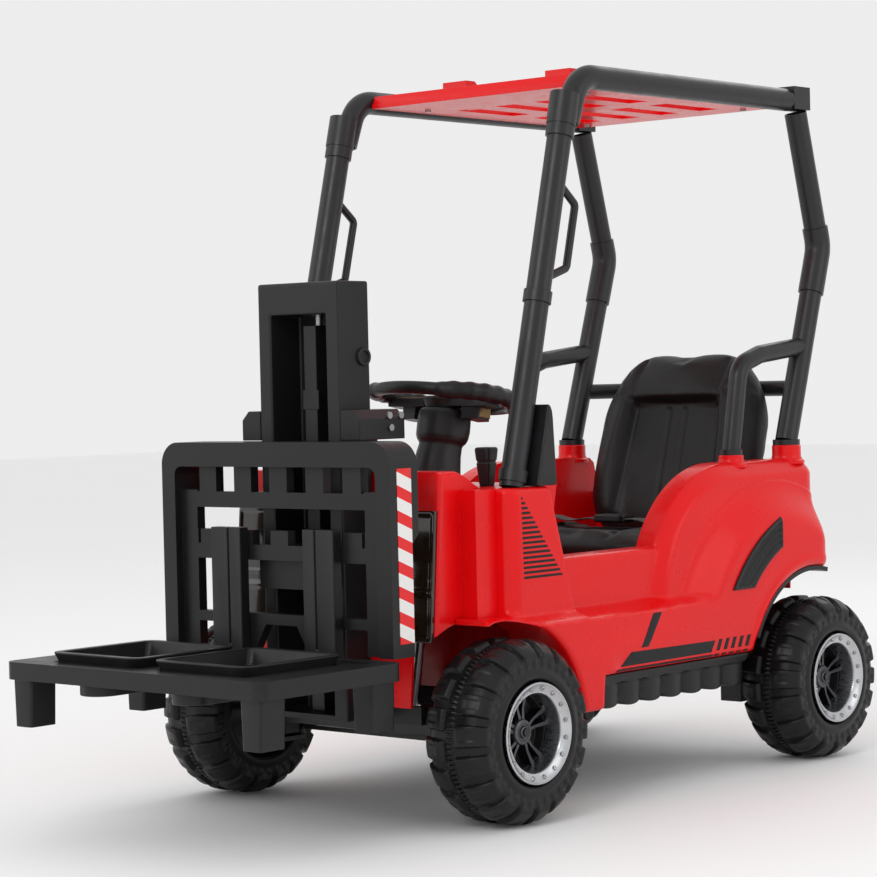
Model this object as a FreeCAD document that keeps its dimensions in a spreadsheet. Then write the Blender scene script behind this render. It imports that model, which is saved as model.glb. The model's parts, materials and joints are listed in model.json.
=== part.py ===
"""Child's ride-on forklift, as a parametric document.

Axes: +X is the vehicle's left, -Y is the way it drives, +Z is up and Z = 0 is the ground.
Every size and place is a cell of the sheet "Sizes". Places along Y are counted from the front axle, and
fore() turns them into the row's own Y, whose zero is the middle of the overall length.
"""
import FreeCAD, Part
import Sketcher
import math
import os

V = FreeCAD.Vector
PARTS_FOLDER = "parts"

SIZES = {
    # overall layout
    "front_reach": 431.0,           # front axle to the pallet's front edge
    "rear_reach": 824.2,            # front axle to the back of the cage's elbows
    "wheelbase": 696.6,
    "wheel_diameter": 240.0,
    "half_track": 244.6,            # centre plane of the truck to the middle of a tyre
    "tyre_width": 106.0,
    "rim_diameter": 133.0,          # where the tyre sits on the rim
    "rim_wall": 4.0,
    "rim_dish": 34.0,               # depth from the rim's lip to the spokes
    "spoke_thickness": 9.0,
    "spoke_width": 11.0,
    "spoke_count": 5.0,
    "hub_diameter": 40.0,
    "axle_diameter": 12.0,
    "running_gap": 0.05,            # radial clearance of every shaft in its bore
    "side_gap": 0.4,                # clearance beside a part that turns
    "fit_gap": 0.3,                 # clearance between a fixed part and a moving one
    # red body
    "wall": 4.0,
    "body_half": 237.0,             # middle to the pillar's outer face
    "inner_half": 186.0,            # middle to the side shell's inner face
    "flare_half": 262.0,            # middle to the lower side's outer face
    "door_half": 222.0,
    "body_floor_z": 150.0,
    "cowl_half": 184.0,
    "cowl_step_half": 212.0,
    "cowl_front_y": -53.0,
    "cowl_toe_y": -76.0,
    "cowl_crest_y": -18.0,
    "cowl_step_y": -16.0,
    "cowl_top_z": 455.0,
    "deck_z": 430.0,
    "deck_front_y": 26.0,
    "deck_rear_y": 186.0,
    "cowl_heel_y": 128.0,
    "nose_half": 146.0,             # half width between the front wheel wells
    "pillar_front_y": 25.0,
    "pillar_rear_y": 114.0,
    "pillar_foot_y": 164.0,
    "sill_top_z": 264.0,
    "door_top_z": 333.0,
    "sill_bottom_z": 172.0,
    "skirt_foot_z": 127.0,
    "skirt_rear_y": 184.0,
    "front_arch_radius": 140.0,
    "rear_arch_radius": 165.0,
    "quarter_y": 530.0,             # centre of the rear quarter's front curve
    "quarter_z": 252.0,
    "quarter_radius": 192.0,
    "bulge_y": 620.0,               # centre of the rear fender's bulge
    "bulge_z": 163.0,
    "bulge_radius": 255.0,
    "body_rear_y": 742.0,
    "bulge_rear_y": 722.0,
    "edge_round": 9.0,
    "boss_height": 20.0,
    "boss_wall": 5.0,
    # tray, floor and seat box
    "tray_bottom_z": 126.0,
    "tray_wall": 5.0,
    "tray_front_y": -56.0,
    "tray_rear_y": 728.0,
    "tray_rear_half": 178.0,
    "floor_z": 160.0,
    "seat_box_front_y": 372.0,
    "seat_deck_z": 298.0,
    "tail_z": 388.0,
    # side skirts, lamps, vents
    "skirt_half": 250.0,
    "skirt_front_y": 192.0,
    "skirt_end_y": 532.0,
    "skirt_top_z": 172.0,
    "skirt_bottom_z": 124.0,
    "scallop_count": 6.0,
    "scallop_radius": 34.0,
    "lamp_inner": 84.0,
    "lamp_top_z": 405.0,
    "lamp_bottom_z": 236.0,
    "lamp_depth": 3.0,
    "vent_outer_radius": 258.0,
    "vent_inner_radius": 217.0,
    "vent_depth": 3.0,
    # cage
    "cage_half": 206.0,
    "tube_diameter": 33.5,
    "tube_wall": 2.5,
    "post_foot_y": 64.0,
    "post_foot_z": 429.0,
    "post_top_y": 184.0,
    "post_top_z": 910.0,
    "rail_z": 981.0,
    "rail_knee_y": 252.0,
    "knuckle_y": 743.0,
    "elbow_y": 804.0,
    "elbow_z": 762.0,
    "rear_post_foot_y": 707.0,
    "rear_post_foot_z": 470.0,
    "bend_radius": 90.0,
    "collar_wall": 2.6,
    "collar_length": 16.0,
    "sleeve_rise": 30.0,            # the elbow sleeve's reach above and below the elbow
    "sleeve_drop": 70.0,
    "hoop_diameter": 27.0,
    "hoop_wall": 2.0,
    "hoop_bend_radius": 34.0,
    "hoop_foot_y": 563.0,
    "hoop_knee_y": 588.0,
    "hoop_knee_z": 584.0,
    "hoop_top_y": 640.0,
    "hoop_top_z": 600.0,
    "grip_diameter": 11.0,
    "grip_low_z": 702.0,
    "grip_high_z": 842.0,
    "grip_stand": 44.0,
    "grip_bend_radius": 8.0,
    "brace_diameter": 24.0,
    "brace_z": 548.0,
    "brace_back_y": 795.0,
    "guard_top_z": 543.0,
    "guard_thickness": 30.0,
    # roof
    "roof_half": 188.0,
    "roof_front_y": 236.0,
    "roof_rear_y": 722.0,
    "roof_drop": 11.0,              # the rails' axis down to the roof's underside
    "roof_thickness": 6.0,
    "roof_lip": 12.0,
    "slot_width": 34.0,
    "slot_length": 128.0,
    "slot_pitch": 74.0,
    "visor_inner": 74.0,
    "visor_width": 45.0,
    "visor_y": 315.0,
    "visor_length": 60.0,
    "visor_rise": 37.0,             # the roof's underside up to a visor's top
    # seat
    "seat_half": 152.0,
    "seat_front_y": 402.0,
    "seat_rear_y": 629.0,
    "seat_top_z": 352.0,
    "back_thickness": 82.0,
    "back_height": 318.0,
    "back_foot_y": 628.0,
    "back_foot_z": 322.0,
    "back_lean": 16.0,
    "cushion_round": 22.0,
    "belt_y": 534.0,                # front edge of the lap belt
    "belt_width": 26.0,
    "belt_thickness": 2.0,
    # steering
    "column_lean": 10.5,
    "column_y": 149.0,              # where the column's axis passes column_z
    "column_z": 447.0,
    "column_foot_diameter": 56.0,
    "column_head_diameter": 62.0,
    "column_cover_length": 70.0,
    "shaft_diameter": 14.0,
    "crank_radius": 24.0,
    "crank_pin_diameter": 8.0,
    "steer_wheel_diameter": 212.0,
    "steer_grip_diameter": 20.0,
    "steer_hub_diameter": 72.0,
    "steer_hub_height": 40.0,
    "steer_rise": 102.0,            # column_z to the rim's plane, along the axis
    "horn_diameter": 34.0,
    "horn_height": 9.0,
    "kingpin_half": 172.0,
    "kingpin_diameter": 14.0,
    "knuckle_height": 62.0,
    "knuckle_width": 26.0,
    "steering_arm": 45.0,
    "arm_thickness": 6.0,
    "tie_rod_z": 92.0,
    "tie_rod_diameter": 10.0,
    "pin_play": 0.9,
    "crank_play": 2.6,              # beside the crank's pin, which leans as it turns
    "slot_play": 5.0,
    "beam_width": 40.0,
    "beam_depth": 30.0,
    # levers and pedal
    "lever_x": 140.0,
    "lever_y": 92.0,
    "lever_pivot_z": 398.0,
    "lever_knob_top_z": 482.0,
    "lever_knob_width": 26.0,
    "lever_shaft_diameter": 10.0,
    "pedal_x": -92.0,
    "pedal_width": 70.0,
    "pedal_length": 96.0,
    "pedal_heel_y": 268.0,
    "pedal_pivot_z": 176.0,
    "pedal_slope": 34.0,
    "pedal_thickness": 8.0,
    "pedal_pin_diameter": 6.0,
    # mast
    "mast_half": 73.6,
    "mast_front_y": -119.0,
    "mast_rear_y": -60.0,
    "mast_top_z": 705.0,
    "mast_bottom_z": 132.0,
    "mast_slot_half": 50.4,
    "mast_slot_top_z": 662.7,
    "guide_half": 11.3,
    "guide_front_y": -97.0,
    "guide_thickness": 5.0,
    "screw_diameter": 10.0,
    "screw_y": -78.0,
    "screw_bottom_z": 168.0,
    "screw_top_z": 652.0,
    "bracket_half": 108.0,
    "bracket_rear_y": -33.0,
    "bracket_bottom_z": 498.0,
    "bracket_top_z": 537.0,
    "stay_diameter": 22.0,
    "stay_x": 56.0,
    # carriage, forks, pallet, bins
    "carriage_half": 208.6,
    "carriage_front_y": -174.0,
    "carriage_rear_y": -122.0,
    "carriage_top_z": 497.5,
    "carriage_bottom_z": 226.5,
    "carriage_inner_half": 183.7,
    "carriage_inner_top_z": 465.4,
    "carriage_round": 30.0,
    "slider_height": 56.0,
    "wheel_room_y": -134.0,         # the side walls stop here where the steered tyres pass them
    "wheel_room_top_z": 368.0,
    "grid_front_y": -162.0,
    "grid_rear_y": -148.0,
    "comb_width": 32.0,
    "comb_pitch": 66.0,
    "upper_bar_low_z": 411.0,
    "upper_bar_high_z": 432.0,
    "middle_bar_low_z": 343.0,
    "middle_bar_high_z": 363.0,
    "merlon_top_z": 382.0,
    "lower_bar_low_z": 259.0,
    "lower_bar_high_z": 273.0,
    "fork_inner": 57.0,
    "fork_outer": 112.0,
    "fork_top_z": 386.0,
    "fork_tip_y": -424.0,
    "fork_blade_low_z": 188.7,
    "fork_blade_high_z": 202.7,
    "shank_front_y": -178.0,
    "shank_rear_y": -162.3,
    "pallet_half": 234.0,
    "pallet_rear_y": -182.0,
    "pallet_top_z": 225.6,
    "pallet_bottom_z": 203.0,
    "pallet_band": 30.0,
    "pallet_round": 16.0,
    "leg_width": 36.0,
    "leg_depth": 42.0,
    "leg_foot_z": 142.0,
    "leg_inset": 8.0,
    "bin_half_width": 78.0,
    "bin_centre_x": 96.0,
    "bin_front_y": -396.0,
    "bin_rear_y": -240.0,
    "bin_rim_z": 238.0,
    "bin_floor_z": 205.0,
    "bin_wall": 3.0,
    "bin_rim": 8.0,
    "bin_round": 18.0,
    # drive and electrics
    "rear_axle_half": 300.0,
    "motor_diameter": 44.0,
    "gearbox_width": 36.0,
    "gearbox_height": 92.0,
    "gearbox_length": 120.0,
    "battery_length": 150.0,
    "battery_width": 98.0,
    "battery_height": 94.0,
    "battery_y": 470.0,
    "lift_motor_diameter": 40.0,
    "bolt_head_diameter": 9.0,
    "bolt_head_height": 3.0,
}


class Size:
    """A number that also knows the sheet expression it came from, so that arithmetic keeps both."""

    def __init__(self, text, value):
        self.text = text
        self.value = float(value)

    def _join(self, other, sign, result):
        return Size(f"({self.text} {sign} {as_size(other).text})", result)

    def __add__(self, other):
        return self._join(other, "+", self.value + float(other))

    def __sub__(self, other):
        return self._join(other, "-", self.value - float(other))

    def __mul__(self, other):
        return self._join(other, "*", self.value * float(other))

    def __truediv__(self, other):
        return self._join(other, "/", self.value / float(other))

    def __radd__(self, other):
        return as_size(other) + self

    def __rsub__(self, other):
        return as_size(other) - self

    def __rmul__(self, other):
        return as_size(other) * self

    def __neg__(self):
        return Size(f"(0 - {self.text})", -self.value)

    def __float__(self):
        return self.value


def as_size(value):
    """Give a plain number the same form as a cell's value."""
    return value if isinstance(value, Size) else Size(repr(float(value)), value)


class Sheet:
    """The spreadsheet of driving sizes, read by alias."""

    def __init__(self, document, sizes):
        self.cells = document.addObject("Spreadsheet::Sheet", "Sizes")
        for row, (alias, value) in enumerate(sizes.items(), start=1):
            self.cells.set(f"A{row}", alias)
            self.cells.set(f"B{row}", str(value))
            self.cells.setAlias(f"B{row}", alias)
        document.recompute()

    def __getattr__(self, alias):
        return Size(f"Sizes.{alias}", SIZES[alias])


doc = FreeCAD.newDocument("forklift")
S = Sheet(doc, SIZES)


def sine(degrees):
    return Size(f"sin({as_size(degrees).text} * 1deg)", math.sin(math.radians(float(degrees))))


def cosine(degrees):
    return Size(f"cos({as_size(degrees).text} * 1deg)", math.cos(math.radians(float(degrees))))


def tangent(degrees):
    return Size(f"tan({as_size(degrees).text} * 1deg)", math.tan(math.radians(float(degrees))))


FRONT_AXLE_Y = (S.front_reach - S.rear_reach) / 2


def fore(y):
    """A place counted from the front axle, in the row's Y."""
    return FRONT_AXLE_Y + y


AXLE_Z = S.wheel_diameter / 2
REAR_AXLE_Y = fore(S.wheelbase)
ROOF_Z = S.rail_z - S.roof_drop
VISOR_TOP_Z = ROOF_Z + S.visor_rise
NODES = []


# ---------------------------------------------------------------- building blocks

def free_name(base):
    """An object name that the document hasn't used yet."""
    taken = {item.Name for item in doc.Objects}
    number = 1
    while f"{base}_{number}" in taken:
        number += 1
    return f"{base}_{number}"


def bind(item, prop, size):
    """Bind one property to the sheet."""
    item.setExpression(prop, as_size(size).text)


def place(item, x, y, z):
    """Bind an object's position to the sheet; its rotation stays as it was set."""
    for axis, size in zip("xyz", (x, y, z)):
        bind(item, f"Placement.Base.{axis}", size)


def box(x, y, z):
    """A box between a low and a high limit along each axis."""
    item = doc.addObject("Part::Box", free_name("Box"))
    for prop, (low, high) in zip(("Length", "Width", "Height"), (x, y, z)):
        bind(item, prop, as_size(high) - low)
    place(item, x[0], y[0], z[0])
    return item


TURNS = {
    "X": FreeCAD.Rotation(V(0, 1, 0), 90),
    "Y": FreeCAD.Rotation(V(1, 0, 0), -90),
    "Z": FreeCAD.Rotation(),
}


def turn_to(direction):
    """The rotation that brings +Z onto an axis letter or a direction."""
    if isinstance(direction, str):
        return TURNS[direction]
    return FreeCAD.Rotation(V(0, 0, 1), direction)


def rod(direction, start, radius, length):
    """A cylinder from a start point along an axis letter or a direction."""
    item = doc.addObject("Part::Cylinder", free_name("Rod"))
    item.Placement.Rotation = turn_to(direction)
    bind(item, "Radius", radius)
    bind(item, "Height", length)
    place(item, *start)
    return item


def taper(direction, start, radius, far_radius, length):
    """A cone frustum from a start point along an axis letter or a direction."""
    item = doc.addObject("Part::Cone", free_name("Taper"))
    item.Placement.Rotation = turn_to(direction)
    bind(item, "Radius1", radius)
    bind(item, "Radius2", far_radius)
    bind(item, "Height", length)
    place(item, *start)
    return item


def ring(direction, centre, radius, grip_radius):
    """A torus about an axis letter or a direction."""
    item = doc.addObject("Part::Torus", free_name("Ring"))
    item.Placement.Rotation = turn_to(direction)
    bind(item, "Radius1", radius)
    bind(item, "Radius2", grip_radius)
    place(item, *centre)
    return item


def fuse(*items):
    """One solid, or one group of solids, made of several."""
    item = doc.addObject("Part::MultiFuse", free_name("Fuse"))
    item.Shapes = list(items)
    item.Refine = True
    return item


def cut(base, *tools):
    """A solid less one or more tools."""
    item = doc.addObject("Part::Cut", free_name("Cut"))
    item.Base = base
    item.Tool = tools[0] if len(tools) == 1 else fuse(*tools)
    item.Refine = True
    return item


def common(first, second):
    """What two solids share."""
    item = doc.addObject("Part::MultiCommon", free_name("Common"))
    item.Shapes = [first, second]
    return item


def mirrored(source):
    """The same piece on the truck's other side."""
    item = doc.addObject("Part::Mirroring", free_name("Mirror"))
    item.Source = source
    item.Normal = V(1, 0, 0)
    item.Base = V(0, 0, 0)
    return item


def both_sides(source):
    """A piece and its mirror image, as one group."""
    return fuse(source, mirrored(source))


PLANES = {
    "XY": ("XY_Plane", "z"),
    "XZ": ("XZ_Plane", "y"),
    "YZ": ("YZ_Plane", "x"),
}


def closed_sketch(body, role, outline):
    """A sketch on one of the body's origin planes: straight lines through corners that the sheet places."""
    sketch = body.newObject("Sketcher::SketchObject", free_name("Outline"))
    support = [feature for feature in body.Origin.OriginFeatures if feature.Role == role][0]
    sketch.AttachmentSupport = [(support, "")]
    sketch.MapMode = "FlatFace"
    corners = [V(float(across), float(up), 0) for across, up in outline]
    count = len(corners)
    for index in range(count):
        sketch.addGeometry(Part.LineSegment(corners[index], corners[(index + 1) % count]), False)
    for index in range(count):
        sketch.addConstraint(Sketcher.Constraint("Coincident", index, 2, (index + 1) % count, 1))
    for index, (across, up) in enumerate(outline):
        for kind, size in (("DistanceX", across), ("DistanceY", up)):
            number = sketch.addConstraint(Sketcher.Constraint(kind, -1, 1, index, 1, float(size)))
            sketch.setExpression(f"Constraints[{number}]", as_size(size).text)
    return sketch


def slab(plane, outline, low, high, rounds=None, chosen=None):
    """A body padded from a straight-sided outline on an origin plane, between two limits along its normal.

    rounds is a fillet's radius, and chosen picks the edges that get it.
    """
    body = doc.addObject("PartDesign::Body", free_name("Slab"))
    role, axis = PLANES[plane]
    sketch = closed_sketch(body, role, outline)
    pad = body.newObject("PartDesign::Pad", free_name("Pad"))
    pad.Profile = sketch
    bind(pad, "Length", as_size(high) - low)
    bind(body, f"Placement.Base.{axis}", high if plane == "XZ" else low)
    if rounds is not None:
        doc.recompute()
        edges = [f"Edge{number}" for number, edge in enumerate(pad.Shape.Edges, start=1) if chosen(edge)]
        fillet = body.newObject("PartDesign::Fillet", free_name("Round"))
        fillet.Base = (pad, edges)
        bind(fillet, "Radius", rounds)
        body.Tip = fillet
    return body


def turned(profile, centre, direction="X"):
    """A body revolved from an outline of (along, radius) points about an axis through centre."""
    body = doc.addObject("PartDesign::Body", free_name("Turned"))
    sketch = closed_sketch(body, "XZ_Plane", profile)
    spin = body.newObject("PartDesign::Revolution", free_name("Spin"))
    spin.Profile = sketch
    spin.ReferenceAxis = (sketch, ["H_Axis"])
    spin.Angle = 360
    if direction == "-X":
        body.Placement.Rotation = FreeCAD.Rotation(V(0, 0, 1), 180)
    place(body, *centre)
    return body


def corner_path(points, radius):
    """A wire of straight runs joined by tangent arcs."""
    edges = []
    start = points[0]
    for here, corner, there in zip(points, points[1:], points[2:]):
        into = (corner - here).normalize()
        out = (there - corner).normalize()
        half_turn = math.acos(max(-1.0, min(1.0, into.dot(out)))) / 2
        reach = min(radius * math.tan(half_turn), 0.45 * min((corner - here).Length, (there - corner).Length))
        real_radius = reach / math.tan(half_turn)
        first = corner - into * reach
        last = corner + out * reach
        inward = (out - into).normalize()
        centre = corner + inward * (real_radius / math.cos(half_turn))
        middle = centre - inward * real_radius
        edges.append(Part.makeLine(start, first))
        edges.append(Part.Arc(first, middle, last).toShape())
        start = last
    edges.append(Part.makeLine(start, points[-1]))
    return Part.Wire(edges)


def sweep(points, radius, bend):
    """A solid round bar along straight runs and tangent bends."""
    path = corner_path(points, bend)
    section = Part.Wire([Part.makeCircle(radius, points[0], points[1] - points[0])])
    return path.makePipeShell([section], True, True)


def bent_bar(points, diameter, bend, wall=None):
    """A bent bar, or a bent tube when a wall is given, through (x, y, z) points."""
    route = [V(float(x), float(y), float(z)) for x, y, z in points]
    radius = float(diameter) / 2
    shape = sweep(route, radius, float(bend))
    if wall is not None:
        shape = shape.cut(sweep(route, radius - float(wall), float(bend)))
    item = doc.addObject("Part::Feature", free_name("Bent"))
    item.Shape = shape
    return item


def node(name, item):
    """Name a finished piece; the name is its file's name."""
    item.Label = name
    NODES.append(item)
    return item


def along_x(edge):
    """True for an edge that runs along X."""
    first, last = edge.Vertexes[0].Point, edge.Vertexes[-1].Point
    return abs(first.y - last.y) < 1e-6 and abs(first.z - last.z) < 1e-6 and abs(first.x - last.x) > 1e-6


def along_y(edge):
    """True for an edge that runs along Y."""
    first, last = edge.Vertexes[0].Point, edge.Vertexes[-1].Point
    return abs(first.x - last.x) < 1e-6 and abs(first.z - last.z) < 1e-6 and abs(first.y - last.y) > 1e-6


def along_z(edge):
    """True for an edge that runs along Z."""
    first, last = edge.Vertexes[0].Point, edge.Vertexes[-1].Point
    return abs(first.x - last.x) < 1e-6 and abs(first.y - last.y) < 1e-6 and abs(first.z - last.z) > 1e-6


def edges_in_plane(x_limit):
    """Picks the edges that lie in the plane X = x_limit."""
    def chosen(edge):
        return all(abs(vertex.Point.x - float(x_limit)) < 1e-6 for vertex in edge.Vertexes)
    return chosen


# ---------------------------------------------------------------- red body

def arch_cutter(axle_y, radius, inner, outer):
    """The round space that a wheel turns in, between two distances from the middle."""
    return rod("X", (inner, axle_y, AXLE_Z), radius, outer - inner)


def side_shell():
    """One side of the red body: front pillar, door, sill, front fender and rear quarter."""
    outside, inside = S.body_half, S.inner_half
    sill_top = S.sill_top_z
    rear = fore(S.body_rear_y)
    pillar = slab("YZ", [
        (fore(S.pillar_front_y), sill_top),
        (fore(S.pillar_foot_y), sill_top),
        (fore(S.pillar_rear_y), S.deck_z),
        (fore(S.pillar_front_y), S.deck_z)], inside, outside,
        S.edge_round, lambda edge: along_z(edge) and edge.BoundBox.XMin > 1.0
        and edge.BoundBox.YMax < float(fore(S.pillar_front_y)) + 1.0)
    door = box((inside, S.door_half), (fore(S.pillar_front_y) + S.wall, fore(S.quarter_y)),
               (sill_top - S.edge_round, S.door_top_z))
    quarter_front = rod("X", (inside, fore(S.quarter_y), S.quarter_z), S.quarter_radius, outside - inside)
    quarter_rear = box((inside, outside), (fore(S.quarter_y), rear),
                       (S.quarter_z, S.quarter_z + S.quarter_radius))
    quarter_limit = box((inside, outside), (fore(S.quarter_y) - S.quarter_radius, rear),
                        (S.quarter_z, S.quarter_z + S.quarter_radius))
    quarter = fuse(common(quarter_front, quarter_limit), quarter_rear)
    sill = slab("YZ", [
        (fore(-30.0), sill_top),
        (fore(-30.0), sill_top - 24.0),
        (fore(S.skirt_rear_y) - 50.0, S.skirt_foot_z),
        (fore(S.skirt_rear_y), S.skirt_foot_z),
        (fore(S.skirt_rear_y) + 7.0, S.sill_bottom_z),
        (REAR_AXLE_Y - S.rear_arch_radius / 2, S.sill_bottom_z),
        (REAR_AXLE_Y - S.rear_arch_radius / 2, sill_top)], inside, S.flare_half,
        S.edge_round, edges_in_plane(S.flare_half - inside))
    bulge_round = rod("X", (inside, fore(S.bulge_y), S.bulge_z), S.bulge_radius, S.flare_half - inside)
    bulge_limit = box((inside, S.flare_half), (fore(S.bulge_y) - S.bulge_radius, fore(S.bulge_rear_y)),
                      (S.sill_bottom_z, S.bulge_z + S.bulge_radius))
    bulge = common(bulge_round, bulge_limit)
    tail = box((inside, outside), (fore(S.bulge_y), rear), (AXLE_Z + S.rear_arch_radius - 40.0, S.quarter_z + 1.0))
    solid = fuse(pillar, door, quarter, sill, bulge, tail)
    hollow_pillar = slab("YZ", [
        (fore(S.pillar_front_y) + S.wall, sill_top - 30.0),
        (fore(S.pillar_foot_y) - S.wall * 2, sill_top - 30.0),
        (fore(S.pillar_rear_y) - S.wall * 2, S.deck_z - S.wall),
        (fore(S.pillar_front_y) + S.wall, S.deck_z - S.wall)], inside + S.wall, outside - S.wall)
    hollow_door = box((inside + S.wall, S.door_half - S.wall),
                      (fore(S.pillar_front_y) + S.wall * 2, fore(S.quarter_y)),
                      (S.sill_bottom_z - 60.0, S.door_top_z - S.wall))
    hollow_quarter = common(
        rod("X", (inside + S.wall, fore(S.quarter_y), S.quarter_z), S.quarter_radius - S.wall,
            outside - inside - S.wall * 2),
        box((inside, outside), (fore(S.quarter_y) - S.quarter_radius, fore(S.quarter_y) + 2.0),
            (S.quarter_z - 20.0, S.quarter_z + S.quarter_radius)))
    hollow_rear = box((inside + S.wall, outside - S.wall), (fore(S.quarter_y), rear - S.wall),
                      (S.sill_bottom_z, S.quarter_z + S.quarter_radius - S.wall))
    hollow_sill = box((inside + S.wall, S.flare_half - S.wall * 2),
                      (fore(S.skirt_rear_y), REAR_AXLE_Y - S.rear_arch_radius + 40.0),
                      (S.skirt_foot_z - 10.0, sill_top - S.wall * 2))
    hollow_bulge = common(
        rod("X", (inside + S.wall, fore(S.bulge_y), S.bulge_z), S.bulge_radius - S.wall * 2,
            S.flare_half - inside - S.wall * 2),
        box((inside, S.flare_half), (fore(S.bulge_y) - S.bulge_radius, fore(S.bulge_rear_y) - S.wall),
            (AXLE_Z, S.bulge_z + S.bulge_radius)))
    front_arch = arch_cutter(fore(0.0), S.front_arch_radius, inside - 1.0, S.flare_half + 1.0)
    rear_arch = arch_cutter(REAR_AXLE_Y, S.rear_arch_radius, inside - 1.0, S.flare_half + 1.0)
    shell = cut(solid, hollow_pillar, hollow_door, hollow_quarter, hollow_rear, hollow_sill, hollow_bulge,
                front_arch, rear_arch, vent_shape(S.fit_gap / 3))
    return fuse(shell, cage_bosses())


def cage_bosses():
    """The sockets on the quarter's top that hold the rear post and the guard hoop."""
    top = S.quarter_z + S.quarter_radius
    bosses = []
    for y, diameter, height in ((S.hoop_foot_y, S.hoop_diameter, S.boss_height / 2),
                                (S.rear_post_foot_y, S.tube_diameter, S.boss_height)):
        outer = diameter / 2 + S.boss_wall
        bosses.append(rod("Z", (S.cage_half, fore(y), top - S.wall), outer, height + S.wall))
    return fuse(*bosses)


def vent_shape(growth):
    """The ribbed quarter vent: part of a ring about the rear axle, set into the bulge."""
    depth = S.vent_depth + growth
    start = S.flare_half - depth
    band = cut(
        rod("X", (start, REAR_AXLE_Y, AXLE_Z), S.vent_outer_radius + growth, depth + 1.0),
        rod("X", (start - 1.0, REAR_AXLE_Y, AXLE_Z), S.vent_inner_radius - growth, depth + 3.0))
    window = box((start, S.flare_half + 1.0),
                 (REAR_AXLE_Y - S.vent_outer_radius - 1.0, REAR_AXLE_Y - S.vent_inner_radius * 0.36 + growth),
                 (S.sill_top_z - growth, AXLE_Z + S.vent_outer_radius + 1.0))
    return common(band, window)


def front_cowl():
    """The red nose and dashboard, stepped in plan, open underneath and round the mast."""
    front = [
        (fore(S.cowl_toe_y), S.body_floor_z),
        (fore(S.cowl_front_y), S.cowl_top_z),
        (fore(S.cowl_crest_y), S.cowl_top_z),
        (fore(S.deck_front_y), S.deck_z),
        (fore(S.deck_rear_y), S.deck_z),
        (fore(S.cowl_heel_y), S.body_floor_z)]
    wall = S.wall
    hollow = [
        (fore(S.cowl_toe_y) + wall, S.body_floor_z - 1.0),
        (fore(S.cowl_front_y) + wall, S.cowl_top_z - wall),
        (fore(S.cowl_crest_y) - wall / 2, S.cowl_top_z - wall),
        (fore(S.deck_front_y) - wall / 2, S.deck_z - wall),
        (fore(S.deck_rear_y) - wall * 1.5, S.deck_z - wall),
        (fore(S.cowl_heel_y) - wall, S.body_floor_z - 1.0)]
    half, step = S.cowl_half, S.cowl_step_half
    centre = slab("YZ", front, -half, half, S.edge_round,
                  lambda edge: not along_x(edge) and edge.BoundBox.YMax < float(fore(S.cowl_crest_y)) + 1
                  and edge.BoundBox.ZMax > 400)
    wings = box((-step, step), (fore(S.cowl_step_y), fore(S.pillar_rear_y)), (S.sill_top_z - 20.0, S.deck_z))
    hollow_centre = slab("YZ", hollow, wall - half, half - wall)
    hollow_wings = box((wall - step, step - wall), (fore(S.cowl_step_y) + wall, fore(S.pillar_rear_y) - wall),
                       (S.sill_top_z - 30.0, S.deck_z - wall))
    mast_room = box((-S.mast_half - S.fit_gap, S.mast_half + S.fit_gap),
                    (fore(S.mast_front_y), fore(S.mast_rear_y) + S.fit_gap), (0, S.cowl_top_z + 1.0))
    wells = [arch_cutter(fore(0.0), S.front_arch_radius, S.nose_half, step + 60.0)]
    wells.append(mirrored(wells[0]))
    low_sides = box((S.nose_half, step + 60.0), (fore(S.cowl_toe_y) - 1.0, fore(S.deck_rear_y)), (0, AXLE_Z + 1.0))
    side_room = box((S.inner_half - S.fit_gap / 3, step + 60.0),
                    (fore(S.pillar_front_y), fore(S.deck_rear_y)), (0, S.deck_z + 1.0))
    fender_room = box((S.inner_half - S.fit_gap / 3, step + 60.0),
                      (fore(S.cowl_toe_y), fore(S.deck_rear_y)), (0, S.sill_top_z + S.fit_gap / 3))
    column = column_rod(S.column_foot_diameter / 2 + S.fit_gap, -60.0, 120.0)
    slots = [lever_slot(S.lever_x), lever_slot(-S.lever_x)]
    lamps = both_sides(lamp_shape(S.fit_gap / 3))
    return cut(fuse(centre, wings), hollow_centre, hollow_wings, mast_room, *wells, low_sides,
               mirrored(low_sides), side_room, mirrored(side_room), fender_room, mirrored(fender_room), column,
               *slots, lamps)


def lever_slot(x):
    """The slot in the deck that a lever swings in."""
    half_width = S.lever_shaft_diameter / 2 + 2.0
    half_travel = half_width + (S.deck_z - S.lever_pivot_z) * tangent(12.0) + 2.0
    return box((x - half_width, x + half_width),
               (fore(S.lever_y) - half_travel, fore(S.lever_y) + half_travel), (S.deck_z - 20.0, S.deck_z + 1.0))


def lamp_shape(growth):
    """The dark smoked lamp panel on one side of the mast, following the nose's slope."""
    lean = (S.cowl_front_y - S.cowl_toe_y) / (S.cowl_top_z - S.body_floor_z)

    def nose(z):
        return fore(S.cowl_toe_y) + lean * (z - S.body_floor_z)
    low, high = S.lamp_bottom_z - growth, S.lamp_top_z + growth
    return slab("YZ", [
        (nose(low) - 1.5, low),
        (nose(high) - 1.5, high),
        (nose(high) + S.lamp_depth + growth, high),
        (nose(low) + S.lamp_depth + growth, low)],
        S.lamp_inner - growth, S.cowl_half - 3.0 + growth)


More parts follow.
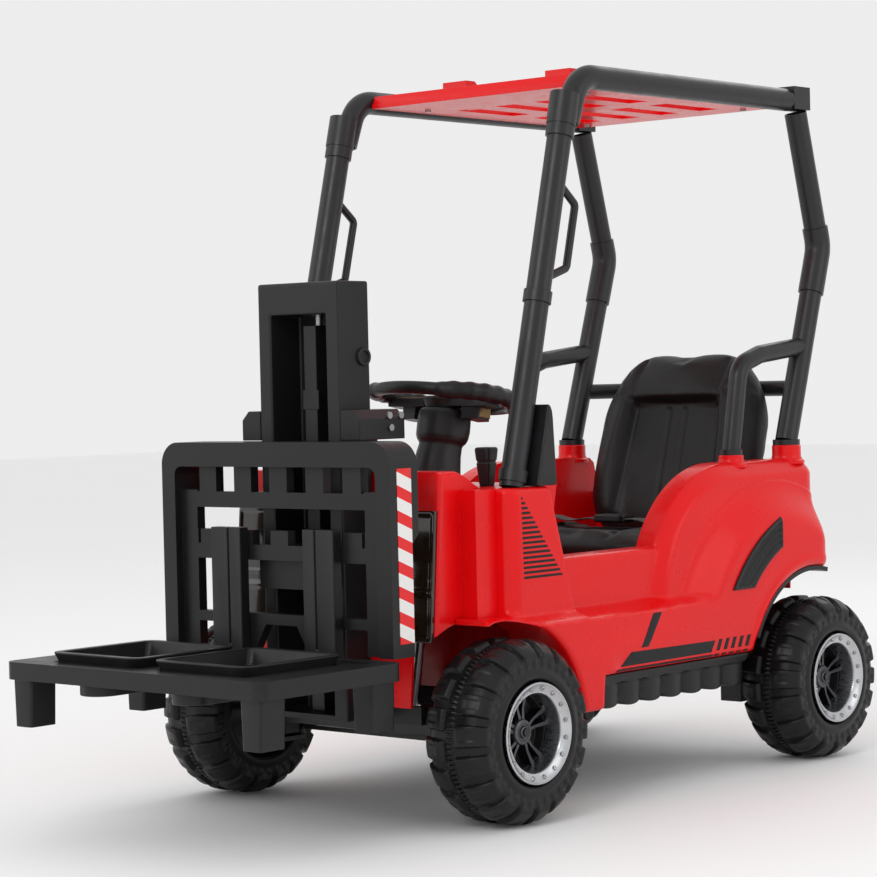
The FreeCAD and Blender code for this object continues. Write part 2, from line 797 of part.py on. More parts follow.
def seat_box():
    """The red riser and deck under the seat, open underneath over the battery."""
    low, high = S.tray_bottom_z + S.tray_wall, S.seat_deck_z
    half = S.inner_half - S.fit_gap / 3
    outside = box((-half, half), (fore(S.seat_box_front_y), fore(S.body_rear_y) - S.wall - S.fit_gap / 3),
                  (S.floor_z, high))
    inside = box((S.wall - half, half - S.wall),
                 (fore(S.seat_box_front_y) + S.wall, fore(S.body_rear_y)), (low - 1.0, high - S.wall))
    wells = arch_cutter(REAR_AXLE_Y, S.rear_arch_radius, S.tray_rear_half, half + 1.0)
    belt_gap = S.seat_half - S.belt_width / 2
    anchors = box((belt_gap - S.belt_width, belt_gap), (fore(S.seat_rear_y) + 6.0, fore(S.seat_rear_y) + 12.0),
                  (high - S.wall - 1.0, high + 1.0))
    return cut(outside, inside, wells, mirrored(wells), anchors, mirrored(anchors))


def rear_cover():
    """The red back wall between the two side shells."""
    half = S.inner_half - S.fit_gap / 3
    rear = fore(S.body_rear_y)
    return box((-half, half), (rear - S.wall, rear), (AXLE_Z + S.rear_arch_radius - 40.0, S.tail_z))


# ---------------------------------------------------------------- tray, skirts and trim

def chassis_tray():
    """The black tray that everything stands on, with the footwell floor and wheel wells."""
    low, high = S.tray_bottom_z, S.floor_z
    wall = S.tray_wall
    front = box((-S.nose_half, S.nose_half), (fore(S.tray_front_y), fore(S.cowl_heel_y) + 20.0), (low, S.body_floor_z))
    middle = box((-S.inner_half, S.inner_half), (fore(S.cowl_heel_y) + 14.0, fore(S.skirt_end_y)), (low, high))
    rear = box((-S.tray_rear_half, S.tray_rear_half), (fore(S.skirt_end_y), fore(S.tray_rear_y)), (low, high))
    hollow_front = box((wall - S.nose_half, S.nose_half - wall),
                       (fore(S.tray_front_y) + wall, fore(S.cowl_heel_y) + 14.0), (low + wall, high + 1.0))
    hollow_rear = box((wall - S.tray_rear_half, S.tray_rear_half - wall),
                      (fore(S.seat_box_front_y) + wall, fore(S.tray_rear_y) - wall), (low + wall, high + 1.0))
    underside = box((wall - S.inner_half, S.inner_half - wall),
                    (fore(S.cowl_heel_y) + 14.0 + wall, fore(S.seat_box_front_y)), (low - 1.0, high - wall))
    wells = arch_cutter(fore(0.0), S.front_arch_radius + 6.0, S.nose_half, S.inner_half + 1.0)
    steering_room = box((-30.0, 30.0), (fore(S.steering_arm) - 42.0, fore(S.steering_arm) + 56.0),
                        (low - 1.0, low + wall + 1.0))
    gearbox_room = box((S.tray_rear_half - 60.0, S.tray_rear_half + 1.0),
                       (REAR_AXLE_Y - 90.0, REAR_AXLE_Y + 30.0), (low - 1.0, high + 1.0))
    return cut(fuse(front, middle, rear), hollow_front, hollow_rear, underside, wells, mirrored(wells),
               steering_room, gearbox_room, mirrored(gearbox_room))


def side_skirts():
    """The black scalloped steps under both doors."""
    low, high = S.skirt_bottom_z, S.skirt_top_z - S.fit_gap / 3
    start, end = fore(S.skirt_front_y), fore(S.skirt_end_y)
    inner = S.inner_half + S.fit_gap / 3
    slab_item = box((inner, S.skirt_half), (start, end), (low, high))
    hollow = box((inner + S.wall, S.skirt_half - S.wall - 6.0), (start + S.wall, end - S.wall),
                 (low - 1.0, high - S.wall))
    pitch = (end - start) / S.scallop_count
    notches = []
    for index in range(int(SIZES["scallop_count"])):
        centre = start + pitch * (index + 0.5)
        notches.append(rod("Z", (S.skirt_half + S.scallop_radius - 5.0, centre, low - 1.0),
                           S.scallop_radius, high - low - 12.0))
    return both_sides(cut(slab_item, hollow, *notches))


# ---------------------------------------------------------------- cage and roof

def cage_point(y, z):
    """A point of the cage's left frame."""
    return (S.cage_half, fore(y), z)


def post_direction():
    """The front post's direction, from its foot to its top."""
    return V(0, SIZES["post_top_y"] - SIZES["post_foot_y"], SIZES["post_top_z"] - SIZES["post_foot_z"]).normalize()


def post_point(z):
    """The point of the front post's axis at a height."""
    share = (z - S.post_foot_z) / (S.post_top_z - S.post_foot_z)
    return cage_point(S.post_foot_y + (S.post_top_y - S.post_foot_y) * share, z)


def front_post():
    """A straight tube from the pillar to the cap under the roof rail."""
    length = math.hypot(SIZES["post_top_y"] - SIZES["post_foot_y"], SIZES["post_top_z"] - SIZES["post_foot_z"])
    direction = post_direction()
    foot = post_point(S.deck_z + S.fit_gap)
    outer = rod(direction, foot, S.tube_diameter / 2, length)
    inner = rod(direction, foot, S.tube_diameter / 2 - S.tube_wall, length)
    level = box((S.cage_half - 40.0, S.cage_half + 40.0), (fore(S.post_foot_y) - 60.0, fore(S.post_foot_y) + 60.0),
                (S.deck_z - 30.0, S.deck_z))
    return cut(outer, inner, level)


def rail_route():
    """The roof rail's points: it leaves the front post, bends back and runs level to the rear knuckle."""
    start = post_point(S.post_top_z + 6.0)
    return [(start[0], start[1] + 12.0, start[2]), cage_point(S.rail_knee_y - 30.0, S.rail_z),
            cage_point(S.knuckle_y - 20.0, S.rail_z)]


def rear_post_route():
    """The rear post's points: from the rear knuckle round the elbow down to the quarter."""
    return [cage_point(S.knuckle_y + 6.0, S.rail_z - 18.0), cage_point(S.elbow_y, S.elbow_z),
            cage_point(S.rear_post_foot_y, S.rear_post_foot_z)]


def hoop_route():
    """The guard hoop's points: from the rear post forward and down to the quarter."""
    start_z = S.hoop_top_z + 12.0
    share = (start_z - S.rear_post_foot_z) / (S.elbow_z - S.rear_post_foot_z)
    start_y = S.rear_post_foot_y + (S.elbow_y - S.rear_post_foot_y) * share
    return [cage_point(start_y, start_z), cage_point(S.hoop_top_y, S.hoop_top_z),
            cage_point(S.hoop_knee_y, S.hoop_knee_z),
            cage_point(S.hoop_foot_y, S.quarter_z + S.quarter_radius + S.boss_height / 2 + 3.0)]


def roof_rail():
    """The bent tube beside the roof."""
    return bent_bar(rail_route(), S.tube_diameter, S.bend_radius, S.tube_wall)


def rear_post():
    """The cranked tube behind the seat."""
    return bent_bar(rear_post_route(), S.tube_diameter, S.bend_radius, S.tube_wall)


def tube_room(route, diameter, bend):
    """The space a bent tube takes in the piece that holds it."""
    return bent_bar(route, diameter + S.running_gap * 2, bend)


def rear_post_room():
    return tube_room(rear_post_route(), S.tube_diameter, S.bend_radius)


def guard_hoop():
    """The tube that guards the seat's side, saddled onto the rear post."""
    return cut(bent_bar(hoop_route(), S.hoop_diameter, S.hoop_bend_radius, S.hoop_wall), rear_post_room())


def collar(direction, centre, inner, length, room):
    """A moulded collar round a tube, cut to fit the tube's own route."""
    return cut(rod(direction, centre, inner + S.collar_wall, length), room)


def cage_fittings():
    """The moulded collars, caps, knuckles and elbow sleeves that join one side's tubes."""
    direction = post_direction()
    radius = S.tube_diameter / 2
    sleeve = radius + S.collar_wall
    post_room = rod(direction, post_point(S.post_foot_z - 40.0), radius + S.running_gap,
                    S.post_top_z - S.post_foot_z + 60.0)
    pieces = []
    for z in (S.post_foot_z + 8.0, S.post_foot_z + 244.0, S.post_top_z - 14.0):
        pieces.append(collar(direction, post_point(z), radius, S.collar_length, post_room))
    cap_low = post_point(S.post_top_z + S.fit_gap * 6)
    cap = rod(direction, cap_low, sleeve + 1.0, 44.0)
    pieces.append(cut(cap, tube_room(rail_route(), S.tube_diameter, S.bend_radius)))
    knuckle = box((S.cage_half - 15.0, S.cage_half + 15.0), (fore(S.knuckle_y) - 18.0, fore(S.knuckle_y) + 24.0),
                  (S.rail_z - 14.0, S.rail_z + 20.0))
    pieces.append(cut(knuckle, tube_room(rail_route(), S.tube_diameter, S.bend_radius), rear_post_room()))
    top = S.quarter_z + S.quarter_radius
    pieces.append(collar("Z", cage_point(S.rear_post_foot_y, top + S.boss_height), radius + 1.0,
                         S.collar_length / 2, rear_post_room()))
    pieces.append(collar("Z", cage_point(S.hoop_foot_y, top + S.boss_height / 2), S.hoop_diameter / 2 + 0.5,
                         S.collar_length / 2, tube_room(hoop_route(), S.hoop_diameter, S.hoop_bend_radius)))
    pieces.append(elbow_sleeve())
    return fuse(*pieces)


def elbow_sleeve():
    """The thicker bent sleeve over the rear post's crank."""
    top, middle, foot = rear_post_route()
    lean = (middle[1] - foot[1]) / (middle[2] - foot[2])
    rise = (middle[1] - top[1]) / (top[2] - middle[2])
    high = (middle[0], middle[1] - rise * S.sleeve_rise, middle[2] + S.sleeve_rise)
    low = (middle[0], middle[1] - lean * S.sleeve_drop, middle[2] - S.sleeve_drop)
    outer = bent_bar([high, middle, low], S.tube_diameter + S.collar_wall * 2, S.bend_radius)
    return cut(outer, rear_post_room())


def grab_handle():
    """The cranked grip on the front post's back, saddled onto the post."""
    low, high = post_point(S.grip_low_z), post_point(S.grip_high_z)
    stand = S.grip_stand
    bar = bent_bar([(low[0], low[1], low[2]),
                    (low[0], low[1] + stand + 13.0, low[2] + 18.0),
                    (high[0], high[1] + stand, high[2] - 36.0),
                    (high[0], high[1], high[2])], S.grip_diameter, S.grip_bend_radius)
    post_room = rod(post_direction(), post_point(S.grip_low_z - 60.0), S.tube_diameter / 2 + S.running_gap,
                    S.grip_high_z - S.grip_low_z + 120.0)
    return cut(bar, post_room)


def rear_brace():
    """The bowed tube behind the seat, its ends coped onto both rear posts."""
    share = (S.brace_z - S.rear_post_foot_z) / (S.elbow_z - S.rear_post_foot_z)
    post_y = S.rear_post_foot_y + (S.elbow_y - S.rear_post_foot_y) * share
    bend_x = S.cage_half - 38.0
    bar = bent_bar([cage_point(post_y, S.brace_z), (bend_x, fore(S.brace_back_y), S.brace_z),
                    (-bend_x, fore(S.brace_back_y), S.brace_z), (-S.cage_half, fore(post_y), S.brace_z)],
                   S.brace_diameter, 30.0, 2.0)
    return cut(bar, both_sides(rear_post_room()))


def guard_panels():
    """The black fins behind both front posts."""
    half = S.guard_thickness / 2
    clear = S.tube_diameter / 2 + S.collar_wall + 0.6
    low = S.deck_z + S.fit_gap
    foot, top = post_point(low), post_point(S.guard_top_z)
    fin = slab("YZ", [
        (foot[1] + clear, low),
        (fore(S.pillar_rear_y) - 1.0, low),
        (top[1] + clear + 15.0, S.guard_top_z),
        (top[1] + clear, S.guard_top_z)], S.cage_half - half + 8.0, S.cage_half + half + 8.0,
        6.0, lambda edge: not along_x(edge))
    return both_sides(fin)


def roof_panel():
    """The red slotted roof with two raised visors, screwed between the rails."""
    low = ROOF_Z
    high = low + S.roof_thickness
    front, rear = fore(S.roof_front_y), fore(S.roof_rear_y)
    sheet = box((-S.roof_half, S.roof_half), (front, rear), (low, high))
    lip = slab("YZ", [
        (front, low), (front + 6.0, high + S.roof_lip), (front + 22.0, high + S.roof_lip), (front + 44.0, low + 1.0)],
        -S.roof_half, S.roof_half)
    visor_front = fore(S.visor_y)
    visor = slab("YZ", [
        (visor_front, low + 1.0),
        (visor_front, VISOR_TOP_Z),
        (visor_front + S.visor_length / 3, VISOR_TOP_Z),
        (visor_front + S.visor_length, low + 1.0)], S.visor_inner, S.visor_inner + S.visor_width)
    slots = []
    for row_start in (60.0, 236.0):
        for across in (-1.5, -0.5, 0.5, 1.5):
            centre = S.slot_pitch * across
            start = front + row_start + 60.0
            slots.append(box((centre - S.slot_width / 2, centre + S.slot_width / 2),
                             (start, start + S.slot_length), (low - 1.0, VISOR_TOP_Z + 1.0)))
    ridge = slab("YZ", [
        (visor_front - 20.0, high - 1.0), (visor_front, high + S.roof_lip / 2),
        (visor_front + 24.0, high - 1.0)], -S.roof_half + 4.0, S.roof_half - 4.0)
    return fuse(cut(fuse(sheet, lip, ridge), *slots), both_sides(visor))


# ---------------------------------------------------------------- seat

def seat_base():
    """The padded seat cushion on the seat box."""
    return slab("YZ", [
        (fore(S.seat_front_y), S.seat_deck_z),
        (fore(S.seat_rear_y), S.seat_deck_z),
        (fore(S.seat_rear_y), S.seat_top_z),
        (fore(S.seat_front_y), S.seat_top_z)], -S.seat_half, S.seat_half,
        S.cushion_round, lambda edge: edge.BoundBox.ZMin > SIZES["seat_top_z"] - 1.0
        and edge.BoundBox.YMin < float(fore(S.seat_rear_y)) - 1.0)


def seat_back():
    """The padded bucket backrest, leaning back."""
    lean, height, thick = S.back_lean, S.back_height, S.back_thickness
    foot_y, foot_z = fore(S.back_foot_y) + 2.0, S.back_foot_z
    rise_y, rise_z = height * sine(lean), height * cosine(lean)
    deep_y, deep_z = thick * cosine(lean), thick * sine(lean)
    return slab("YZ", [
        (foot_y, foot_z),
        (foot_y + deep_y, foot_z - deep_z),
        (foot_y + deep_y + rise_y, foot_z - deep_z + rise_z),
        (foot_y + rise_y, foot_z + rise_z)], 6.0 - S.seat_half, S.seat_half - 6.0,
        S.cushion_round, lambda edge: edge.BoundBox.ZMax > 400)


def lap_belt():
    """Both halves of the lap belt, lying across the cushion."""
    top = S.seat_top_z + S.fit_gap
    start, end = fore(S.belt_y), fore(S.belt_y) + S.belt_width
    inner = S.belt_width + 4.0
    outer = S.seat_half + 1.0
    lying = box((inner, outer + S.belt_thickness), (start, end), (top, top + S.belt_thickness))
    hanging = box((outer, outer + S.belt_thickness), (start, end), (S.seat_deck_z + S.fit_gap, top + 1.0))
    return both_sides(fuse(lying, hanging))


def belt_buckle():
    """The square side-release buckle between the two belt halves."""
    top = S.seat_top_z + S.fit_gap
    half = S.belt_width + 4.0
    start = fore(S.belt_y)
    return box((-half, half), (start - 3.0, start + S.belt_width + 3.0), (top, top + 10.0))


# ---------------------------------------------------------------- steering

COLUMN_AXIS = V(0, math.sin(math.radians(SIZES["column_lean"])), math.cos(math.radians(SIZES["column_lean"])))


def column_point(distance):
    """A point on the column's axis, counted upwards from column_z."""
    return (0.0, fore(S.column_y) + distance * sine(S.column_lean), S.column_z + distance * cosine(S.column_lean))


def column_rod(radius, start, length):
    """A cylinder about the column's axis."""
    return rod(COLUMN_AXIS, column_point(start), radius, length)


def column_cover():
    """The black tapered tube round the steering shaft."""
    start = -14.0
    outer = taper(COLUMN_AXIS, column_point(start), S.column_foot_diameter / 2, S.column_head_diameter / 2,
                  S.column_cover_length)
    inner = column_rod(S.column_foot_diameter / 2 - S.wall, start + S.wall, S.column_cover_length)
    bore = column_rod(S.shaft_diameter / 2 + S.running_gap, start - 1.0, 20.0)
    return cut(outer, inner, bore)


def steering_shaft():
    """The steel shaft from the wheel down to the crank that pushes the tie rod."""
    drop = (S.column_z - S.tie_rod_z - S.arm_thickness * 2.5) / cosine(S.column_lean)
    shaft = column_rod(S.shaft_diameter / 2, -drop, drop + S.steer_rise - 20.0)
    low = column_point(-drop)
    crank = rod(COLUMN_AXIS, low, S.shaft_diameter / 2 + 4.0, S.arm_thickness)
    arm = box((-S.shaft_diameter / 2, S.shaft_diameter / 2), (low[1], low[1] + S.crank_radius),
              (low[2], low[2] + S.arm_thickness))
    pin = rod("Z", (0.0, low[1] + S.crank_radius, S.tie_rod_z - S.arm_thickness), S.crank_pin_diameter / 2,
              low[2] + S.arm_thickness - S.tie_rod_z + S.arm_thickness)
    return fuse(shaft, crank, arm, pin)


def steering_wheel():
    """The rim with three spokes and a domed hub, bored for the shaft."""
    centre = column_point(S.steer_rise)
    radius = (S.steer_wheel_diameter - S.steer_grip_diameter) / 2
    rim = ring(COLUMN_AXIS, centre, radius, S.steer_grip_diameter / 2)
    hub = rod(COLUMN_AXIS, column_point(S.steer_rise - S.steer_hub_height - 4.0), S.steer_hub_diameter / 2,
              S.steer_hub_height)
    spokes = []
    for angle in (0.0, 180.0, 90.0):
        spoke = doc.addObject("Part::Box", free_name("Spoke"))
        bind(spoke, "Length", radius)
        spoke.Width = 26.0
        spoke.Height = 9.0
        tilt = FreeCAD.Rotation(V(1, 0, 0), -SIZES["column_lean"])
        spin = FreeCAD.Rotation(V(0, 0, 1), angle)
        turn = tilt.multiply(spin)
        spoke.Placement.Rotation = turn
        offset = turn.multVec(V(0, -13.0, -9.0))
        place(spoke, centre[0] + offset.x, centre[1] + offset.y, centre[2] + offset.z)
        spokes.append(spoke)
    shaft_room = column_rod(S.shaft_diameter / 2, -40.0, 40.0 + S.steer_rise - 20.0)
    horn_room = column_rod(S.horn_diameter / 2 + S.fit_gap, S.steer_rise - 14.0, 30.0)
    return cut(fuse(rim, hub, *spokes), shaft_room, horn_room)


def horn_button():
    """The round horn push in the middle of the wheel."""
    return column_rod(S.horn_diameter / 2, S.steer_rise - 10.0, S.horn_height)


def knuckle():
    """The left front steering knuckle: kingpin, stub axle and steering arm."""
    half = S.knuckle_height / 2
    pin = rod("Z", (S.kingpin_half, fore(0.0), AXLE_Z - half - 8.0), S.kingpin_diameter / 2, S.knuckle_height + 16.0)
    stub = rod("X", (S.kingpin_half, fore(0.0), AXLE_Z), S.axle_diameter / 2,
               S.half_track + S.tyre_width / 2 - S.kingpin_half - S.rim_dish + 14.0)
    arm_top = box((S.kingpin_half - 8.0, S.kingpin_half + 8.0), (fore(0.0), fore(S.steering_arm)),
                  (AXLE_Z - half - 8.0 - S.arm_thickness, AXLE_Z - half - 8.0))
    arm_pin = rod("Z", (S.kingpin_half, fore(S.steering_arm), AXLE_Z - half - 8.0 - S.arm_thickness),
                  S.crank_pin_diameter / 2, S.tie_rod_z + S.arm_thickness - AXLE_Z + half + 8.0 + S.arm_thickness)
    washer = rod("X", (S.kingpin_half, fore(0.0), AXLE_Z), S.axle_diameter / 2 + 3.0, S.knuckle_width / 2 + 1.0)
    block = box((S.kingpin_half - S.knuckle_width / 2, S.kingpin_half + S.knuckle_width / 2 - 8.0),
                (fore(0.0) - 11.0, fore(0.0) + 11.0), (AXLE_Z - 13.0, AXLE_Z + 13.0))
    return fuse(pin, stub, arm_top, arm_pin, washer, block)


def front_axle_beam():
    """The black beam across the front, with a fork at each end for the kingpins."""
    half = S.knuckle_height / 2
    root = S.nose_half + S.fit_gap / 3
    depth = (fore(0.0) - 13.0, fore(0.0) + 13.0)
    beam = box((-root - 2.0, root + 2.0), (fore(0.0) - S.beam_width / 2, fore(0.0) + 12.0),
               (AXLE_Z - S.beam_depth / 2 + 2.0, S.tray_bottom_z - S.fit_gap / 3))
    column = box((root, S.kingpin_half - 16.0), depth, (AXLE_Z - half, AXLE_Z + half))
    upper = box((root, S.kingpin_half + 13.0), depth, (AXLE_Z + half - 12.0, AXLE_Z + half))
    lower = box((root, S.kingpin_half + 13.0), depth, (AXLE_Z - half, AXLE_Z - half + 12.0))
    bore = rod("Z", (S.kingpin_half, fore(0.0), AXLE_Z - half - 1.0), S.kingpin_diameter / 2 + S.running_gap,
               S.knuckle_height + 2.0)
    end = cut(fuse(column, upper, lower), bore)
    return fuse(beam, both_sides(end))


def tie_rod():
    """The rod that makes both knuckles steer together, with a plate at each end and one in the middle."""
    half = S.kingpin_half
    y = fore(S.steering_arm)
    z = S.tie_rod_z
    thick = S.arm_thickness / 2
    column_low = column_point(-(S.column_z - S.tie_rod_z - S.arm_thickness * 2.5) / cosine(S.column_lean))
    crank_y = column_low[1] + S.crank_radius
    bar = box((12.0 - half, half - 12.0), (y - 6.0, y + 6.0), (z - thick, z + thick))
    end_plate = box((half - 15.0, half + 15.0), (y - 15.0, y + 13.0), (z - thick, z + thick))
    end_slot = box((half - S.crank_pin_diameter / 2 - S.pin_play, half + S.crank_pin_diameter / 2 + S.pin_play),
                   (y - S.crank_pin_diameter / 2 - S.slot_play, y + S.crank_pin_diameter / 2 + S.pin_play),
                   (z - thick - 1.0, z + thick + 1.0))
    middle_plate = box((-15.0, 15.0), (y - 6.0, crank_y + 12.0), (z - thick, z + thick))
    middle_slot = box((-S.crank_pin_diameter / 2 - S.crank_play, S.crank_pin_diameter / 2 + S.crank_play),
                      (crank_y - S.crank_pin_diameter / 2 - S.slot_play * 1.8,
                       crank_y + S.crank_pin_diameter / 2 + S.pin_play), (z - thick - 1.0, z + thick + 1.0))
    plates = both_sides(cut(end_plate, end_slot))
    holes = both_sides(end_slot)
    return cut(fuse(bar, plates, middle_plate), middle_slot, holes)


# ---------------------------------------------------------------- levers, pedal

def lever(x):
    """A hand lever: a shaft with a cross pin below the deck and a tapered knob above it."""
    y = fore(S.lever_y)
    shaft = rod("Z", (x, y, S.lever_pivot_z), S.lever_shaft_diameter / 2, S.deck_z + 14.0 - S.lever_pivot_z)
    knob_low = S.deck_z + 10.0
    half = S.lever_knob_width / 2
    knob = slab("YZ", [
        (y - half * 0.7, knob_low),
        (y + half * 0.7, knob_low),
        (y + half, S.lever_knob_top_z),
        (y - half, S.lever_knob_top_z)], x - half * 0.7, x + half * 0.7, 4.0,
        lambda edge: edge.BoundBox.ZMax > SIZES["lever_knob_top_z"] - 1)
    pin = rod("X", (x - 12.0, y, S.lever_pivot_z), S.lever_shaft_diameter / 2, 24.0)
    return fuse(shaft, knob, pin)


def pedal():
    """The foot pedal, hinged at its heel on the footwell floor."""
    half = S.pedal_width / 2
    heel = fore(S.pedal_heel_y)
    run, rise = S.pedal_length * cosine(S.pedal_slope), S.pedal_length * sine(S.pedal_slope)
    plate = slab("YZ", [
        (heel, S.pedal_pivot_z),
        (heel - run, S.pedal_pivot_z + rise),
        (heel - run, S.pedal_pivot_z + rise + S.pedal_thickness),
        (heel, S.pedal_pivot_z + S.pedal_thickness)], S.pedal_x - half, S.pedal_x + half)
    barrel = rod("X", (S.pedal_x - half, heel, S.pedal_pivot_z), S.pedal_pin_diameter / 2 + 4.0, S.pedal_width)
    bore = rod("X", (S.pedal_x - half - 1.0, heel, S.pedal_pivot_z), S.pedal_pin_diameter / 2 + S.running_gap,
               S.pedal_width + 2.0)
    return cut(fuse(plate, barrel), bore)


def pedal_stand():
    """The pedal's hinge pin and its two ears, screwed to the floor."""
    half = S.pedal_width / 2
    heel = fore(S.pedal_heel_y)
    pin = rod("X", (S.pedal_x - half - 8.0, heel, S.pedal_pivot_z), S.pedal_pin_diameter / 2, S.pedal_width + 16.0)
    ears = []
    for low, high in ((S.pedal_x - half - 8.0, S.pedal_x - half - S.side_gap),
                      (S.pedal_x + half + S.side_gap, S.pedal_x + half + 8.0)):
        ears.append(box((low, high), (heel - 9.0, heel + 9.0), (S.floor_z, S.pedal_pivot_z + 8.0)))
    return fuse(pin, *ears)


# ---------------------------------------------------------------- mast

def mast_frame():
    """The black mast: a column with a deep slot in front for the carriage's slider."""
    front, rear = fore(S.mast_front_y), fore(S.mast_rear_y)
    column = box((-S.mast_half, S.mast_half), (front, rear), (S.mast_bottom_z, S.mast_top_z))
    recess = box((-S.mast_slot_half, S.mast_slot_half), (front - 1.0, rear - S.wall),
                 (S.mast_bottom_z + 8.0, S.mast_slot_top_z))
    motor_room = box((-26.0, 26.0), (front + 7.0, rear - S.wall), (S.mast_slot_top_z - 1.0, S.mast_top_z - S.wall))
    return cut(column, recess, motor_room)


def mast_bracket():
    """The black clamp round the mast, carrying it on two stays from the cowl."""
    front, rear = fore(S.mast_front_y), fore(S.bracket_rear_y)
    mast = S.mast_half + S.fit_gap / 3
    low, high = S.bracket_bottom_z, S.bracket_top_z
    block = slab("XZ", [
        (-S.bracket_half, low), (S.bracket_half, low), (S.bracket_half, high - 12.0),
        (S.bracket_half - 12.0, high), (12.0 - S.bracket_half, high), (-S.bracket_half, high - 12.0)], front, rear)
    room = box((-mast, mast), (front - 1.0, fore(S.mast_rear_y) + S.fit_gap / 3), (low - 1.0, high + 1.0))
    stay = rod("Z", (S.stay_x, (fore(S.mast_rear_y) + rear) / 2, S.cowl_top_z), S.stay_diameter / 2,
               low - S.cowl_top_z)
    return fuse(cut(block, room), both_sides(stay))


def mast_guide():
    """The vertical guide strip in the mast's slot, with the lift screw's two bearings."""
    front = fore(S.guide_front_y)
    low, high = S.mast_bottom_z + 8.0, S.mast_slot_top_z
    strip = box((-S.guide_half, S.guide_half), (front, front + S.guide_thickness), (low, high))
    screw_y = fore(S.screw_y)
    blocks = []
    for start in (low, S.screw_top_z - 6.0):
        blocks.append(box((-S.guide_half, S.guide_half), (front + 1.0, screw_y + 12.0), (start, start + 14.0)))
    bore = rod("Z", (0.0, screw_y, low + 4.0), S.screw_diameter / 2 + S.running_gap, high - low + 40.0)
    return cut(fuse(strip, *blocks), bore)


def lift_screw():
    """The long screw that raises the carriage."""
    return rod("Z", (0.0, fore(S.screw_y), S.mast_bottom_z + 14.0), S.screw_diameter / 2,
               S.mast_slot_top_z - S.mast_bottom_z - 14.0)


def lift_motor():
    """The geared motor in the mast's head that turns the screw."""
    return rod("Z", (0.0, fore(S.screw_y) - 10.0, S.mast_slot_top_z + S.fit_gap), S.lift_motor_diameter / 2 - 2.0,
               S.mast_top_z - S.wall - S.mast_slot_top_z - S.fit_gap * 2)


# ---------------------------------------------------------------- carriage, forks, pallet, bins

def comb_post(centre, low, high):
    """One upright of the backrest's comb."""
    half = S.comb_width / 2
    return box((centre - half, centre + half), (fore(S.grid_front_y), fore(S.grid_rear_y)), (low, high))


def carriage_frame():
    """The load backrest: a deep round-cornered frame round a castellated grid."""
    front, rear = fore(S.carriage_front_y), fore(S.carriage_rear_y)
    low, top = S.carriage_bottom_z, S.carriage_top_z
    outer = slab("XZ", [
        (-S.carriage_half, low), (S.carriage_half, low), (S.carriage_half, top), (-S.carriage_half, top)],
        front, rear, S.carriage_round, lambda edge: along_y(edge) and edge.BoundBox.ZMin > 300)
    opening = slab("XZ", [
        (-S.carriage_inner_half, low - 1.0), (S.carriage_inner_half, low - 1.0),
        (S.carriage_inner_half, S.carriage_inner_top_z), (-S.carriage_inner_half, S.carriage_inner_top_z)],
        front - 1.0, rear + 1.0, 12.0, lambda edge: along_y(edge) and edge.BoundBox.ZMin > 300)
    frame = cut(outer, opening)
    inner = S.carriage_inner_half + 1.0
    deep = (fore(S.grid_front_y), fore(S.grid_rear_y))
    bars = []
    for low_z, high_z in ((S.upper_bar_low_z, S.upper_bar_high_z), (S.middle_bar_low_z, S.middle_bar_high_z),
                          (S.lower_bar_low_z, S.lower_bar_high_z)):
        bars.append(box((-inner, inner), deep, (low_z, high_z)))
    for step in range(-2, 3):
        centre = S.comb_pitch * float(step)
        bars.append(comb_post(centre, S.upper_bar_high_z - 1.0, S.carriage_inner_top_z + 1.0))
        bars.append(comb_post(centre, S.middle_bar_high_z - 1.0, S.merlon_top_z))
    for side in (-1.0, 1.0):
        edge = (S.carriage_inner_half - S.comb_width / 2 + 1.0) * side
        bars.append(comb_post(edge, S.upper_bar_high_z - 12.0, S.upper_bar_high_z + 2.0))
        bars.append(comb_post(edge, S.middle_bar_high_z - 1.0, S.merlon_top_z))
    apron = slab("XZ", [
        (-74.0, low), (-48.0, low), (-28.0, S.lower_bar_low_z), (28.0, S.lower_bar_low_z), (48.0, low),
        (74.0, low), (74.0, S.lower_bar_low_z + 2.0), (-74.0, S.lower_bar_low_z + 2.0)], *deep)
    struts = box((S.carriage_inner_half - 30.0, inner), deep, (low, S.upper_bar_low_z + 2.0))
    wheel_room = slab("YZ", [
        (fore(S.wheel_room_y), low - 1.0), (rear + 1.0, low - 1.0), (rear + 1.0, S.wheel_room_top_z + 14.0),
        (fore(S.wheel_room_y), S.wheel_room_top_z)], S.carriage_inner_half - 2.0, S.carriage_half + 1.0)
    return fuse(cut(frame, both_sides(wheel_room)), *bars, apron, both_sides(struts), slider_block())


def slider_block():
    """The block on the carriage's back that rides in the mast's slot, round the guide and the screw."""
    high = S.middle_bar_high_z - 2.0
    low = high - S.slider_height
    half = S.mast_slot_half - S.fit_gap
    body = box((-half, half), (fore(S.grid_rear_y) - 1.0, fore(S.screw_y) + 9.0), (low, high))
    groove = box((-S.guide_half - S.fit_gap, S.guide_half + S.fit_gap),
                 (fore(S.guide_front_y) - S.fit_gap, fore(S.guide_front_y) + S.guide_thickness + S.fit_gap),
                 (low - 1.0, high + 1.0))
    nut = rod("Z", (0.0, fore(S.screw_y), low - 1.0), S.screw_diameter / 2 + S.running_gap * 2,
              S.slider_height + 2.0)
    return cut(body, groove, nut)


